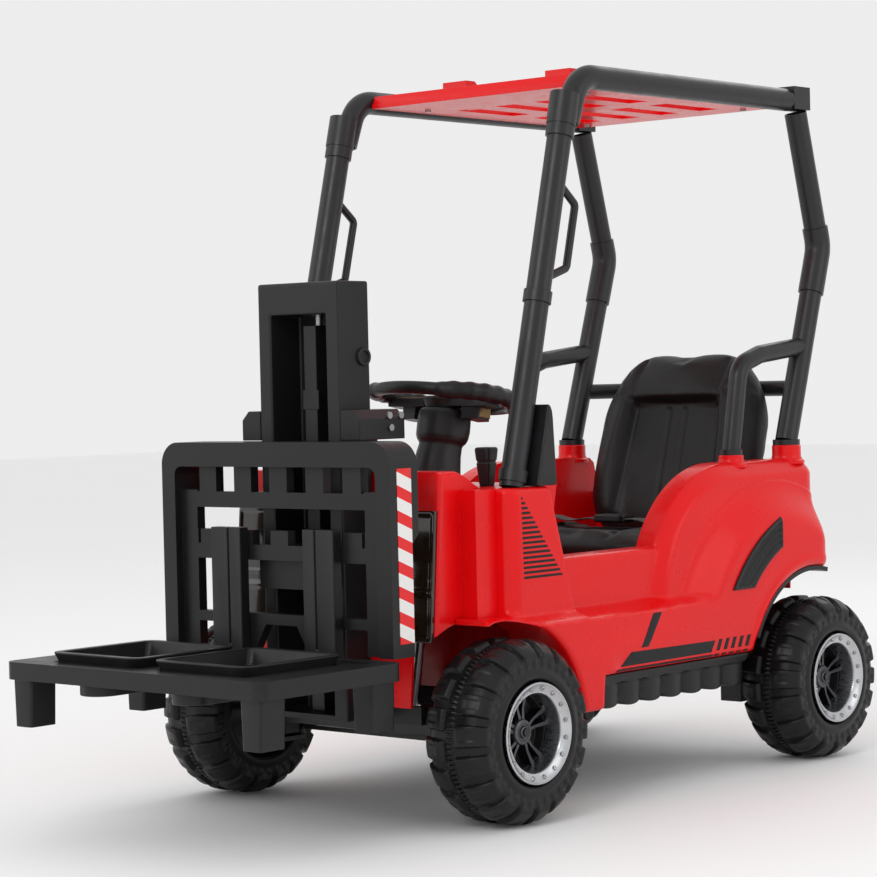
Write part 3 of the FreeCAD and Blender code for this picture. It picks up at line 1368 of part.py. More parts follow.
def fork(side):
    """One fork: a grooved shank on the backrest and a flat tapered blade."""
    inner, outer = S.fork_inner, S.fork_outer
    shank = box((inner, outer), (fore(S.shank_front_y), fore(S.shank_rear_y)), (S.fork_blade_low_z, S.fork_top_z))
    groove = box((inner + 21.0, inner + 24.0), (fore(S.shank_front_y) - 1.0, fore(S.shank_front_y) + 3.0),
                 (S.fork_blade_high_z + 30.0, S.fork_top_z + 1.0))
    blade = box((inner, outer), (fore(S.fork_tip_y), fore(S.shank_rear_y)), (S.fork_blade_low_z, S.fork_blade_high_z))
    tip_radius = (outer - inner) / 2
    tip = rod("Z", ((inner + outer) / 2, fore(S.fork_tip_y) + tip_radius, S.fork_blade_low_z), tip_radius,
              S.fork_blade_high_z - S.fork_blade_low_z)
    square = box((inner - 1.0, outer + 1.0), (fore(S.fork_tip_y) - 1.0, fore(S.fork_tip_y) + tip_radius),
                 (S.fork_blade_low_z - 1.0, S.fork_blade_high_z + 1.0))
    piece = cut(fuse(cut(blade, square), tip, shank), groove)
    return piece if side > 0 else mirrored(piece)


def pallet():
    """The black plastic pallet: a frame on four tapered legs, with two wells for the bins."""
    front, rear = fore(-S.front_reach), fore(S.pallet_rear_y)
    low, high = S.pallet_bottom_z, S.pallet_top_z
    deck = slab("XY", [
        (-S.pallet_half, front), (S.pallet_half, front), (S.pallet_half, rear), (-S.pallet_half, rear)],
        low, high, S.pallet_round, along_z)
    wells = []
    for side in (-1.0, 1.0):
        middle = S.bin_centre_x * side
        half = S.bin_half_width - S.bin_rim + S.fit_gap
        wells.append(box((middle - half, middle + half),
                         (fore(S.bin_front_y) + S.bin_rim - S.fit_gap, fore(S.bin_rear_y) - S.bin_rim + S.fit_gap),
                         (low - 1.0, high + 1.0)))
    recess = []
    for side in (-1.0, 1.0):
        middle = S.bin_centre_x * side
        half = S.bin_half_width + 2.0
        recess.append(box((middle - half, middle + half),
                          (fore(S.bin_front_y) - 2.0, fore(S.bin_rear_y) + 2.0), (high - 6.0, high + 1.0)))
    rear_slot = box((-S.pallet_half + S.pallet_band, S.pallet_half - S.pallet_band),
                    (fore(S.bin_rear_y) + 14.0, rear - 14.0), (low - 1.0, high + 1.0))
    legs = []
    for side in (-1.0, 1.0):
        for start in (front + S.leg_inset, rear - S.leg_inset - S.leg_depth):
            middle = (S.pallet_half - S.leg_inset - S.leg_width / 2) * side
            half = S.leg_width / 2
            legs.append(slab("XZ", [
                (middle - half, low + 1.0), (middle - half + 2.5, S.leg_foot_z),
                (middle + half - 2.5, S.leg_foot_z), (middle + half, low + 1.0)],
                start, start + S.leg_depth, 4.0, lambda edge: not along_y(edge) and not along_x(edge)))
    return fuse(cut(deck, *wells, *recess, rear_slot), *legs)


def storage_bin(side):
    """One open tray that drops into the pallet and hangs by its rim."""
    middle = S.bin_centre_x * side
    half = S.bin_half_width
    front, rear = fore(S.bin_front_y), fore(S.bin_rear_y)
    seat = S.pallet_top_z - 6.0
    rim = slab("XY", [(middle - half, front), (middle + half, front), (middle + half, rear), (middle - half, rear)],
               seat + S.fit_gap / 3, S.bin_rim_z, S.bin_round, along_z)
    body_half = half - S.bin_rim - S.fit_gap
    body = slab("XY", [
        (middle - body_half, front + S.bin_rim + S.fit_gap), (middle + body_half, front + S.bin_rim + S.fit_gap),
        (middle + body_half, rear - S.bin_rim - S.fit_gap), (middle - body_half, rear - S.bin_rim - S.fit_gap)],
        S.bin_floor_z, seat + 1.0, S.bin_round - S.bin_rim, along_z)
    inner_half = body_half - S.bin_wall
    edge = S.bin_rim + S.fit_gap + S.bin_wall
    hollow = slab("XY", [
        (middle - inner_half, front + edge), (middle + inner_half, front + edge),
        (middle + inner_half, rear - edge), (middle - inner_half, rear - edge)],
        S.bin_floor_z + S.bin_wall, S.bin_rim_z + 1.0, S.bin_round - S.bin_rim - S.bin_wall, along_z)
    return cut(fuse(rim, body), hollow)


# ---------------------------------------------------------------- wheels

def tyre(centre, outward):
    """The blow-moulded tyre, round-shouldered, open for the rim."""
    half = S.tyre_width / 2
    bore = S.rim_diameter / 2 + S.fit_gap / 3
    radius = S.wheel_diameter / 2
    profile = [
        (-half + 4.0, bore), (half - 4.0, bore), (half, bore + 9.0), (half - 2.0, radius - 34.0),
        (half - 10.0, radius - 14.0), (half - 24.0, radius - 3.0), (half - 34.0, radius),
        (34.0 - half, radius), (24.0 - half, radius - 3.0), (10.0 - half, radius - 14.0),
        (2.0 - half, radius - 34.0), (-half, bore + 9.0)]
    return turned(profile, centre, outward)


def rim(centre, outward):
    """The rim: barrel, bolted lip ring, dished spokes and hub."""
    half = S.tyre_width / 2
    radius = S.rim_diameter / 2
    inner = radius - S.rim_wall
    dish = half - S.rim_dish
    barrel = turned([
        (4.0 - half, radius), (4.0 - half, inner), (half - 6.0, inner), (half - 6.0, inner - 9.0),
        (half - 1.0, inner - 9.0), (half + 1.0, radius - 3.0), (half - 3.8, radius)], centre, outward)
    hub = turned([
        (4.0 - half, S.axle_diameter / 2 + S.running_gap), (dish + 8.0, S.axle_diameter / 2 + S.running_gap),
        (dish + 8.0, S.hub_diameter / 2 - 4.0), (dish + 4.0, S.hub_diameter / 2), (4.0 - half, S.hub_diameter / 2)],
        centre, outward)
    sign = -1.0 if outward == "-X" else 1.0
    web_low, web_high = (dish - S.spoke_thickness, dish - S.spoke_thickness + 4.0)
    web = turned([(web_low, S.hub_diameter / 2 - 2.0), (web_high, S.hub_diameter / 2 - 2.0),
                  (web_high, inner + 1.0), (web_low, inner + 1.0)], centre, outward)
    spokes = []
    for index in range(int(SIZES["spoke_count"])):
        for offset in (-0.62, 0.62):
            spoke = doc.addObject("Part::Box", free_name("Spoke"))
            bind(spoke, "Length", S.spoke_thickness)
            bind(spoke, "Width", S.spoke_width * 0.62)
            bind(spoke, "Height", inner - S.hub_diameter / 2 + 6.0)
            turn = FreeCAD.Rotation(V(1, 0, 0), 360.0 * index / SIZES["spoke_count"] + 36.0)
            spoke.Placement.Rotation = turn
            shift = turn.multVec(V(0, SIZES["spoke_width"] * (offset - 0.31), SIZES["hub_diameter"] / 2 - 4.0))
            low = dish - S.spoke_thickness if sign > 0 else -dish
            place(spoke, centre[0] + low, centre[1] + shift.y, centre[2] + shift.z)
            spokes.append(spoke)
    return fuse(barrel, hub, web, *spokes)


# ---------------------------------------------------------------- drive and electrics

def rear_axle():
    """The steel rod through both rear wheels and the tray."""
    half = S.half_track + S.tyre_width / 2 - S.rim_dish + 14.0
    return rod("X", (-half, REAR_AXLE_Y, AXLE_Z), S.axle_diameter / 2, half * 2)


def drive_motors():
    """The two gearboxes with their motors, one beside each rear wheel."""
    inner = S.half_track - S.tyre_width / 2 - S.side_gap - 10.0 - S.gearbox_width
    casing = box((inner, inner + S.gearbox_width), (REAR_AXLE_Y - S.gearbox_length + 34.0, REAR_AXLE_Y + 34.0 - 8.0),
                 (AXLE_Z - 34.0, AXLE_Z - 34.0 + S.gearbox_height))
    motor = rod("X", (inner - 62.0, REAR_AXLE_Y - S.gearbox_length + 62.0,
                      S.tray_bottom_z + S.tray_wall + S.motor_diameter / 2 + 1.0), S.motor_diameter / 2, 63.0)
    bore = rod("X", (inner - 1.0, REAR_AXLE_Y, AXLE_Z), S.axle_diameter / 2 + S.running_gap, S.gearbox_width + 2.0)
    return both_sides(cut(fuse(casing, motor), bore))


def battery():
    """The sealed battery in the seat box."""
    half_width = S.battery_width / 2
    low = S.tray_bottom_z + S.tray_wall
    middle = fore(S.battery_y)
    case = box((-S.battery_length / 2, S.battery_length / 2), (middle - half_width, middle + half_width),
               (low, low + S.battery_height))
    posts = []
    for x in (-S.battery_length / 2 + 18.0, S.battery_length / 2 - 18.0):
        posts.append(box((x - 5.0, x + 5.0), (middle - 3.0, middle + 3.0), (low, low + S.battery_height + 8.0)))
    return fuse(case, *posts)


def control_box():
    """The radio and motor controller beside the battery."""
    low = S.tray_bottom_z + S.tray_wall
    start = fore(S.battery_y) + S.battery_width / 2 + 14.0
    return box((-60.0, 60.0), (start, start + 74.0), (low, low + 32.0))


def bolts():
    """The screw heads of the mast bracket and the roof."""
    radius, height = S.bolt_head_diameter / 2, S.bolt_head_height
    heads = []
    for y, z in ((-64.0, 529.0), (-42.0, 529.0), (-61.0, 513.0)):
        heads.append(rod("X", (S.bracket_half, fore(y), z), radius, height))
    sides = [both_sides(head) for head in heads]
    for x in (-150.0, 150.0):
        for y in (S.roof_front_y + 80.0, S.roof_rear_y - 30.0):
            sides.append(rod("Z", (x, fore(y), ROOF_Z - height), radius, height))
    return fuse(*sides)


# ---------------------------------------------------------------- the assembly

side_left = side_shell()
node("body_side_left", side_left)
node("body_side_right", mirrored(side_left))
node("front_cowl", front_cowl())
node("seat_box", seat_box())
node("rear_cover", rear_cover())
node("chassis_tray", chassis_tray())
node("side_skirts", side_skirts())
node("front_lamps", both_sides(lamp_shape(0.0)))
node("fender_vents", both_sides(vent_shape(0.0)))

post_left = front_post()
node("front_post_left", post_left)
node("front_post_right", mirrored(post_left))
node("roof_rails", both_sides(roof_rail()))
node("rear_posts", both_sides(rear_post()))
node("guard_hoops", both_sides(guard_hoop()))
node("cage_fittings", both_sides(cage_fittings()))
node("grab_handles", both_sides(grab_handle()))
node("guard_panels", guard_panels())
node("rear_brace", rear_brace())
node("roof_panel", roof_panel())

node("seat_base", seat_base())
node("seat_back", seat_back())
node("lap_belt", lap_belt())
node("belt_buckle", belt_buckle())

node("column_cover", column_cover())
node("steering_shaft", steering_shaft())
node("steering_wheel", steering_wheel())
node("horn_button", horn_button())
node("front_axle_beam", front_axle_beam())
node("tie_rod", tie_rod())
knuckle_left = knuckle()
node("knuckle_left", knuckle_left)
node("knuckle_right", mirrored(knuckle_left))
node("shift_lever", lever(S.lever_x))
node("lift_lever", lever(-S.lever_x))
node("foot_pedal", pedal())
node("pedal_stand", pedal_stand())

node("mast_frame", mast_frame())
node("mast_bracket", mast_bracket())
node("mast_guide", mast_guide())
node("lift_screw", lift_screw())
node("lift_motor", lift_motor())
node("carriage_frame", carriage_frame())
node("fork_left", fork(1))
node("fork_right", fork(-1))
node("pallet", pallet())
node("bin_left", storage_bin(1.0))
node("bin_right", storage_bin(-1.0))

for end_name, y in (("front", fore(0.0)), ("rear", REAR_AXLE_Y)):
    for side_name, x, outward in (("left", S.half_track, "X"), ("right", -S.half_track, "-X")):
        node(f"tyre_{end_name}_{side_name}", tyre((x, y, AXLE_Z), outward))
        node(f"rim_{end_name}_{side_name}", rim((x, y, AXLE_Z), outward))

node("rear_axle", rear_axle())
node("drive_motors", drive_motors())
node("battery", battery())
node("control_box", control_box())
node("bolts", bolts())

# ---------------------------------------------------------------- checks and files

doc.recompute()
for item in doc.Objects:
    if "Invalid" in item.State or "Error" in item.State:
        raise RuntimeError(f"{item.Name} ({item.Label}) doesn't build: {item.State}")
os.makedirs(PARTS_FOLDER, exist_ok=True)
whole = None
for item in NODES:
    shape = item.Shape
    if shape.isNull() or not shape.isValid() or not shape.Solids:
        raise RuntimeError(f"{item.Label} isn't a valid solid")
    shape.exportStep(os.path.join(PARTS_FOLDER, f"{item.Label}.step"))
    bounds = shape.BoundBox
    if whole is None:
        whole = FreeCAD.BoundBox(bounds)
    else:
        whole.add(bounds)
print(f"{len(NODES)} nodes, X {whole.XMin:.1f} to {whole.XMax:.1f}, Y {whole.YMin:.1f} to {whole.YMax:.1f}, "
      f"Z {whole.ZMin:.1f} to {whole.ZMax:.1f}")
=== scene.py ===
"""Looks of the child's ride-on forklift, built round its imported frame.

Metres everywhere, in the row frame: +X is the vehicle's left, -Y the way it drives, Z = 0 the ground.
Each operator makes one piece, or one group of like pieces, and hangs it on the body it moves with.
"""
import json
import math

import bmesh
import bpy
import numpy as np
from mathutils import Matrix, Vector
from mathutils.geometry import delaunay_2d_cdt


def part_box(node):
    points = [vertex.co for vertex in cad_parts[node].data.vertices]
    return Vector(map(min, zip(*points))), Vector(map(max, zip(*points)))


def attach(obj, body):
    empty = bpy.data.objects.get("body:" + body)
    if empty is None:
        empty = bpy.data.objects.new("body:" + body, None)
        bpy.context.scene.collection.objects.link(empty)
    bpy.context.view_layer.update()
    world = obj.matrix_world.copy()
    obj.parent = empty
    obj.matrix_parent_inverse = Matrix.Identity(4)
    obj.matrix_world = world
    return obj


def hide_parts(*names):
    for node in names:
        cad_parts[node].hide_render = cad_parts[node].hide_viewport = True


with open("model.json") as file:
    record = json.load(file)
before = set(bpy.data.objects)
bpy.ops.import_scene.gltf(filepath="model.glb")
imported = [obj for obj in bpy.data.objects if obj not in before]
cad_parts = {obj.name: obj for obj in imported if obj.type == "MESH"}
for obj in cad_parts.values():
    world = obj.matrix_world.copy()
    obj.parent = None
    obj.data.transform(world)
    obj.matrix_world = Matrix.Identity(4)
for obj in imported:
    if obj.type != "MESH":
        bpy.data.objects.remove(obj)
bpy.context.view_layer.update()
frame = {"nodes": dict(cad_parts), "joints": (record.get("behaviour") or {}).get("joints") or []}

bl_info = {
    "name": "Ride-on forklift",
    "version": (1, 0, 0),
    "blender": (4, 5, 0),
    "location": "View3D > Sidebar > Forklift",
    "description": "Builds the looks of a child's ride-on forklift round its packed frame",
    "category": "Object",
}

NODES = frame["nodes"]
MM = 0.001
LEFT, RIGHT = 1.0, -1.0
SIDES = ((LEFT, "left"), (RIGHT, "right"))


def middle(node):
    """The middle of a node's box."""
    low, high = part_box(node)
    return (low + high) / 2


AXLE = middle("tyre_front_left")
REAR_AXLE = middle("tyre_rear_left")


def fore(y):
    """A place counted in millimetres from the front axle, as a row Y in metres."""
    return AXLE.y + y * MM


# ---------------------------------------------------------------- sizes and colours

class BodySizes(bpy.types.PropertyGroup):
    """Sizes of the red shell."""
    pillar_out: bpy.props.FloatProperty(
        name="Pillar half width", description="Middle of the truck to the outside of the front pillar",
        default=0.2365, unit="LENGTH")
    door_out: bpy.props.FloatProperty(
        name="Door half width", description="Middle of the truck to the recessed door panel",
        default=0.222, unit="LENGTH")
    flare_out: bpy.props.FloatProperty(
        name="Flare half width", description="Middle of the truck to the outside of the sill and fenders",
        default=0.2615, unit="LENGTH")
    back: bpy.props.FloatProperty(
        name="Inner face", description="Middle of the truck to the shell's inner face",
        default=0.1865, unit="LENGTH")
    edge: bpy.props.FloatProperty(
        name="Edge radius", description="Rounding along the shell's outline", default=0.008, unit="LENGTH")
    spacing: bpy.props.FloatProperty(
        name="Mesh spacing", description="Distance between neighbouring points of the shell", default=0.0036,
        unit="LENGTH")


class WheelSizes(bpy.types.PropertyGroup):
    """Sizes of the blow-moulded wheels."""
    lugs: bpy.props.IntProperty(
        name="Lugs", description="Chunky tread blocks round one tyre", default=18, min=8, max=40)
    lug_height: bpy.props.FloatProperty(
        name="Lug height", description="How far the tread blocks stand off the carcass", default=0.0062,
        unit="LENGTH")
    seam_teeth: bpy.props.IntProperty(
        name="Seam teeth", description="Fine ribs along the moulding seam", default=104, min=20, max=200)
    lip_radius: bpy.props.FloatProperty(
        name="Lip radius", description="Outer radius of the bolted ring", default=0.0655, unit="LENGTH")
    lip_bolts: bpy.props.IntProperty(
        name="Lip bolts", description="Bolt heads round the ring", default=16, min=6, max=32)
    spokes: bpy.props.IntProperty(
        name="Spokes", description="Split spokes of the hub", default=5, min=3, max=9)


class SeatSizes(bpy.types.PropertyGroup):
    """Sizes of the padded bucket seat."""
    swell_cap: bpy.props.FloatProperty(
        name="Swell cap", description="Furthest that the stuffing may push a point out", default=0.009,
        unit="LENGTH")
    seam_depth: bpy.props.FloatProperty(
        name="Seam depth", description="Depth of a sewn seam", default=0.0032, unit="LENGTH")
    seam_width: bpy.props.FloatProperty(
        name="Seam width", description="Half width of the dip beside a seam", default=0.0045, unit="LENGTH")
    voxel: bpy.props.FloatProperty(
        name="Remesh size", description="Voxel of the mesh that the stuffing works on", default=0.0055,
        unit="LENGTH")


class FinishColours(bpy.types.PropertyGroup):
    """Colours of the finishes."""
    red: bpy.props.FloatVectorProperty(
        name="Shell red", description="Gloss red of the body", subtype="COLOR", size=4,
        default=(0.74, 0.0018, 0.0035, 1.0), min=0.0, max=1.0)
    black: bpy.props.FloatVectorProperty(
        name="Moulded black", description="Satin black of mast, backrest and pallet", subtype="COLOR", size=4,
        default=(0.0105, 0.0105, 0.0118, 1.0), min=0.0, max=1.0)
    tube: bpy.props.FloatVectorProperty(
        name="Tube black", description="Charcoal of the cage", subtype="COLOR", size=4,
        default=(0.0135, 0.0135, 0.0155, 1.0), min=0.0, max=1.0)
    leather: bpy.props.FloatVectorProperty(
        name="Leatherette", description="Black cover of the seat", subtype="COLOR", size=4,
        default=(0.0085, 0.0082, 0.0086, 1.0), min=0.0, max=1.0)
    tyre: bpy.props.FloatVectorProperty(
        name="Tyre black", description="Blow-moulded tyre plastic", subtype="COLOR", size=4,
        default=(0.0065, 0.0065, 0.007, 1.0), min=0.0, max=1.0)
    silver: bpy.props.FloatVectorProperty(
        name="Ring silver", description="Plated ring of the wheels", subtype="COLOR", size=4,
        default=(0.56, 0.57, 0.59, 1.0), min=0.0, max=1.0)


class StageSizes(bpy.types.PropertyGroup):
    """The camera's place and the studio's light."""
    azimuth: bpy.props.FloatProperty(
        name="Azimuth", description="Camera's turn from straight ahead", default=math.radians(40.8),
        subtype="ANGLE")
    elevation: bpy.props.FloatProperty(
        name="Elevation", description="Camera's height angle", default=math.radians(1.3), subtype="ANGLE")
    roll: bpy.props.FloatProperty(
        name="Roll", description="Camera's roll", default=math.radians(-1.3), subtype="ANGLE")
    distance: bpy.props.FloatProperty(
        name="Distance", description="Camera to the middle of the truck", default=3.4919, unit="LENGTH")
    lens: bpy.props.FloatProperty(name="Lens", description="Focal length in millimetres", default=106.61)
    shift_x: bpy.props.FloatProperty(name="Shift X", description="Sideways lens shift", default=-0.0444)
    shift_y: bpy.props.FloatProperty(name="Shift Y", description="Upward lens shift", default=-0.0031)
    key_power: bpy.props.FloatProperty(
        name="Key light", description="Power of the key light", default=34.0)
    fill_power: bpy.props.FloatProperty(
        name="Fill light", description="Power of the fill light", default=11.0)


GROUPS = {"fork_body": BodySizes, "fork_wheel": WheelSizes, "fork_seat": SeatSizes,
          "fork_colour": FinishColours, "fork_stage": StageSizes}


# ---------------------------------------------------------------- finishes

class Finish:
    """A node material under construction: a Principled shader with short calls for what feeds it."""

    def __init__(self, name, colour, roughness, **constants):
        self.material = bpy.data.materials.new(name)
        self.material.use_nodes = True
        self.tree = self.material.node_tree
        self.shader = self.tree.nodes["Principled BSDF"]
        self.colour = tuple(colour)
        self.material.diffuse_color = self.colour
        self.shader.inputs["Base Color"].default_value = self.colour
        self.shader.inputs["Roughness"].default_value = roughness
        for key, value in constants.items():
            self.shader.inputs[key.replace("_", " ")].default_value = value
        self.place = self.node("ShaderNodeTexCoord").outputs["Object"]

    def node(self, kind, **settings):
        item = self.tree.nodes.new(kind)
        for key, value in settings.items():
            setattr(item, key, value)
        return item

    def link(self, source, target):
        self.tree.links.new(source, target)
        return target

    def feed(self, item, **inputs):
        """Set or link a node's inputs; a socket is linked and anything else is a value."""
        for key, value in inputs.items():
            numbered = key.startswith("in")
            socket = item.inputs[int(key[2:]) if numbered else key.replace("_", " ")]
            if isinstance(value, bpy.types.NodeSocket):
                self.link(value, socket)
            else:
                socket.default_value = value
        return item

    def stretched(self, scale):
        """Object coordinates stretched along each axis."""
        return self.feed(self.node("ShaderNodeMapping"), Vector=self.place, Scale=scale).outputs["Vector"]

    def noise(self, scale, detail=3.0, vector=None):
        item = self.node("ShaderNodeTexNoise")
        self.feed(item, Vector=self.place if vector is None else vector, Scale=scale, Detail=detail,
                  Roughness=0.55)
        return item.outputs["Fac"]

    def cells(self, scale, feature="F1"):
        item = self.node("ShaderNodeTexVoronoi", feature=feature)
        self.feed(item, Vector=self.place, Scale=scale)
        return item.outputs["Distance"]

    def math(self, operation, first, second=0.0):
        item = self.node("ShaderNodeMath", operation=operation)
        return self.feed(item, in0=first, in1=second).outputs[0]

    def between(self, value, low, high, out_low=0.0, out_high=1.0):
        """A value's own range stretched onto another."""
        item = self.node("ShaderNodeMapRange", clamp=True)
        return self.feed(item, Value=value, From_Min=low, From_Max=high, To_Min=out_low,
                         To_Max=out_high).outputs["Result"]

    def mixed(self, share, first, second):
        """Two colours mixed by a share."""
        item = self.node("ShaderNodeMix", data_type="RGBA")
        for socket, value in zip((item.inputs[0], item.inputs[6], item.inputs[7]), (share, first, second)):
            if isinstance(value, bpy.types.NodeSocket):
                self.link(value, socket)
            else:
                socket.default_value = value
        return item.outputs[2]

    def shade(self, factor):
        """The finish's own colour made lighter or darker."""
        return tuple(min(1.0, channel * factor) for channel in self.colour[:3]) + (1.0,)

    def set_colour(self, colour):
        self.link(colour, self.shader.inputs["Base Color"])

    def set_roughness(self, value):
        self.link(value, self.shader.inputs["Roughness"])

    def bump(self, height, strength, distance):
        """Relief from a height; a second call stacks on the first."""
        item = self.node("ShaderNodeBump")
        self.feed(item, Height=height, Strength=strength, Distance=distance)
        normal = self.shader.inputs["Normal"]
        if normal.is_linked:
            self.link(normal.links[0].from_socket, item.inputs["Normal"])
        self.link(item.outputs["Normal"], normal)


def scuffs(finish, scale=9.0):
    """Sparse wear: the bright end of a coarse noise broken up by a fine one."""
    coarse = finish.between(finish.noise(scale, 5.0), 0.56, 0.72)
    fine = finish.between(finish.noise(scale * 26.0, 2.0), 0.45, 0.62)
    return finish.math("MULTIPLY", coarse, fine)


def moulded(name, colour, roughness, grain=900.0, depth=0.00012, wear=0.5, lighter=2.0, flowing=0.14,
            **constants):
    """Injection-moulded plastic: fine grain, faint flow marks, scuffed roughness and a little dust."""
    finish = Finish(name, colour, roughness, **constants)
    worn = finish.math("MULTIPLY", scuffs(finish), wear)
    flow = finish.noise(5.0, 3.0, finish.stretched((1.0, 1.0, 2.4)))
    base = finish.mixed(finish.between(flow, 0.3, 0.7), finish.shade(1.0 - flowing),
                        finish.shade(1.0 + flowing))
    finish.set_colour(finish.mixed(worn, base, finish.shade(lighter)))
    cloudy = finish.between(finish.noise(40.0, 4.0), 0.3, 0.7, roughness - 0.05, roughness + 0.06)
    finish.set_roughness(finish.math("ADD", cloudy, finish.math("MULTIPLY", worn, 0.2)))
    finish.bump(finish.cells(grain), 0.35, depth)
    finish.bump(finish.noise(12.0, 2.0), 0.12, depth * 6.0)
    return finish


FINISHES = {}


def leatherette(name, colour):
    """Coated fabric: two sizes of pebble grain, pressed pores and rubbed high spots."""
    finish = Finish(name, colour, 0.42, Specular_IOR_Level=0.3)
    grain = finish.cells(720.0, "DISTANCE_TO_EDGE")
    pebble = finish.cells(260.0)
    rubbed = finish.between(finish.noise(7.0, 4.0), 0.48, 0.74)
    finish.set_colour(finish.mixed(rubbed, finish.mixed(finish.between(grain, 0.0, 0.12), finish.shade(0.6),
                                                        finish.colour), finish.shade(1.7)))
    finish.set_roughness(finish.between(rubbed, 0.0, 1.0, 0.47, 0.36))
    finish.bump(pebble, 0.25, 0.0006)
    finish.bump(grain, 0.5, 0.0004)
    return finish


def plated(name, colour, roughness):
    """Plated or brushed metal: fine lines, cloudy roughness and small pits."""
    finish = Finish(name, colour, roughness, Metallic=1.0)
    lines = finish.noise(60.0, 5.0, finish.stretched((1.0, 14.0, 14.0)))
    cloud = finish.noise(26.0, 3.0)
    finish.set_colour(finish.mixed(finish.between(cloud, 0.35, 0.7), finish.shade(0.84), finish.colour))
    brushed = finish.between(lines, 0.3, 0.7, roughness - 0.08, roughness + 0.1)
    finish.set_roughness(finish.math("ADD", brushed, finish.math("MULTIPLY", scuffs(finish, 20.0), 0.15)))
    finish.bump(lines, 0.15, 0.0001)
    return finish


def webbing(name, colour):
    """Woven strap: ribs along it crossed by a finer weft."""
    finish = Finish(name, colour, 0.72, Sheen_Weight=0.25)
    rib = finish.node("ShaderNodeTexWave", bands_direction="Y")
    finish.feed(rib, Vector=finish.place, Scale=150.0, Distortion=0.6)
    weft = finish.node("ShaderNodeTexWave", bands_direction="X")
    finish.feed(weft, Vector=finish.place, Scale=320.0, Distortion=0.4)
    woven = finish.math("MULTIPLY", rib.outputs["Fac"], weft.outputs["Fac"])
    finish.set_colour(finish.mixed(woven, finish.shade(0.6), finish.shade(1.6)))
    finish.bump(woven, 0.7, 0.0006)
    return finish


def hazard(name, red):
    """Red and white slanted warning stripes, counted up the wall and along it."""
    finish = Finish(name, (0.8, 0.8, 0.8, 1.0), 0.34)
    split = finish.feed(finish.node("ShaderNodeSeparateXYZ"), Vector=finish.place)
    slanted = finish.math("ADD", finish.math("MULTIPLY", split.outputs["Y"], 0.4), split.outputs["Z"])
    turn = finish.math("FRACT", finish.math("DIVIDE", finish.math("ADD", slanted, 0.0154), 0.0316))
    stripe = finish.math("GREATER_THAN", turn, 0.53)
    clean = finish.mixed(stripe, (0.80, 0.79, 0.77, 1.0), tuple(red))
    finish.set_colour(finish.mixed(finish.math("MULTIPLY", scuffs(finish, 14.0), 0.5), clean,
                                   (0.25, 0.2, 0.2, 1.0)))
    finish.bump(finish.noise(300.0, 2.0), 0.1, 0.0002)
    finish.set_roughness(finish.between(finish.noise(50.0), 0.3, 0.7, 0.28, 0.42))
    return finish


def make_finishes(colours):
    """Every finish by name. Slots of the record come first, and the rest are details."""
    red, black = colours.red, colours.black
    gloss = moulded("gloss_red", red, 0.3, 420.0, 0.00003, 0.02, 1.05, 0.035,
                    Specular_IOR_Level=0.22, Coat_Weight=0.14, Coat_Roughness=0.1)
    made = {
        "red": gloss,
        "black": moulded("satin_black", black, 0.36, Specular_IOR_Level=0.3),
        "pallet": moulded("pallet_black", [c * 0.85 for c in black[:3]] + [1.0], 0.4, 700.0, 0.00016,
                          0.8, Specular_IOR_Level=0.3),
        "tube": moulded("cage_charcoal", colours.tube, 0.34, 1100.0, 0.0001, 0.5, Specular_IOR_Level=0.38),
        "leather": leatherette("seat_leatherette", colours.leather),
        "tyre": moulded("tyre_black", colours.tyre, 0.36, 520.0, 0.00012, 0.6, 2.2, Specular_IOR_Level=0.27),
        "silver": plated("ring_silver", colours.silver, 0.3),
        "dark_chrome": plated("hub_graphite", (0.11, 0.11, 0.12, 1.0), 0.32),
        "hub_black": moulded("hub_black", (0.01, 0.01, 0.011, 1.0), 0.34),
        "steel": plated("zinc_steel", (0.5, 0.5, 0.51, 1.0), 0.36),
        "bolt": plated("bolt_zinc", (0.42, 0.42, 0.43, 1.0), 0.33),
        "smoked": moulded("smoked_lens", (0.02, 0.011, 0.006, 1.0), 0.12, 300.0, 0.00002, 0.15,
                          Coat_Weight=0.6),
        "webbing": webbing("belt_webbing", (0.014, 0.014, 0.015, 1.0)),
        "grip": moulded("grip_black", (0.013, 0.013, 0.014, 1.0), 0.4, 1300.0, 0.0002, 0.6,
                        Specular_IOR_Level=0.3),
        "bronze": plated("trim_bronze", (0.2, 0.125, 0.055, 1.0), 0.38),
        "decal": moulded("decal_black", (0.006, 0.006, 0.007, 1.0), 0.4, 600.0, 0.00002, 0.3,
                         Specular_IOR_Level=0.25),
        "hazard": hazard("hazard_stripes", red),
        "electrics": moulded("device_grey", (0.05, 0.05, 0.055, 1.0), 0.5),
        "battery": moulded("battery_case", (0.03, 0.032, 0.04, 1.0), 0.45),
    }
    FINISHES.update({name: finish.material for name, finish in made.items()})


# ---------------------------------------------------------------- shapes

def grid_faces(rows, columns, round_rows=False, round_columns=False):
    """Quads of a grid of points, closed along either way when it is round."""
    row = np.arange(rows if round_rows else rows - 1)
    column = np.arange(columns if round_columns else columns - 1)
    here, there = np.meshgrid(row, column, indexing="ij")
    below, beside = (here + 1) % rows, (there + 1) % columns
    return np.stack([here * columns + there, below * columns + there, below * columns + beside,
                     here * columns + beside], -1).reshape(-1, 4)


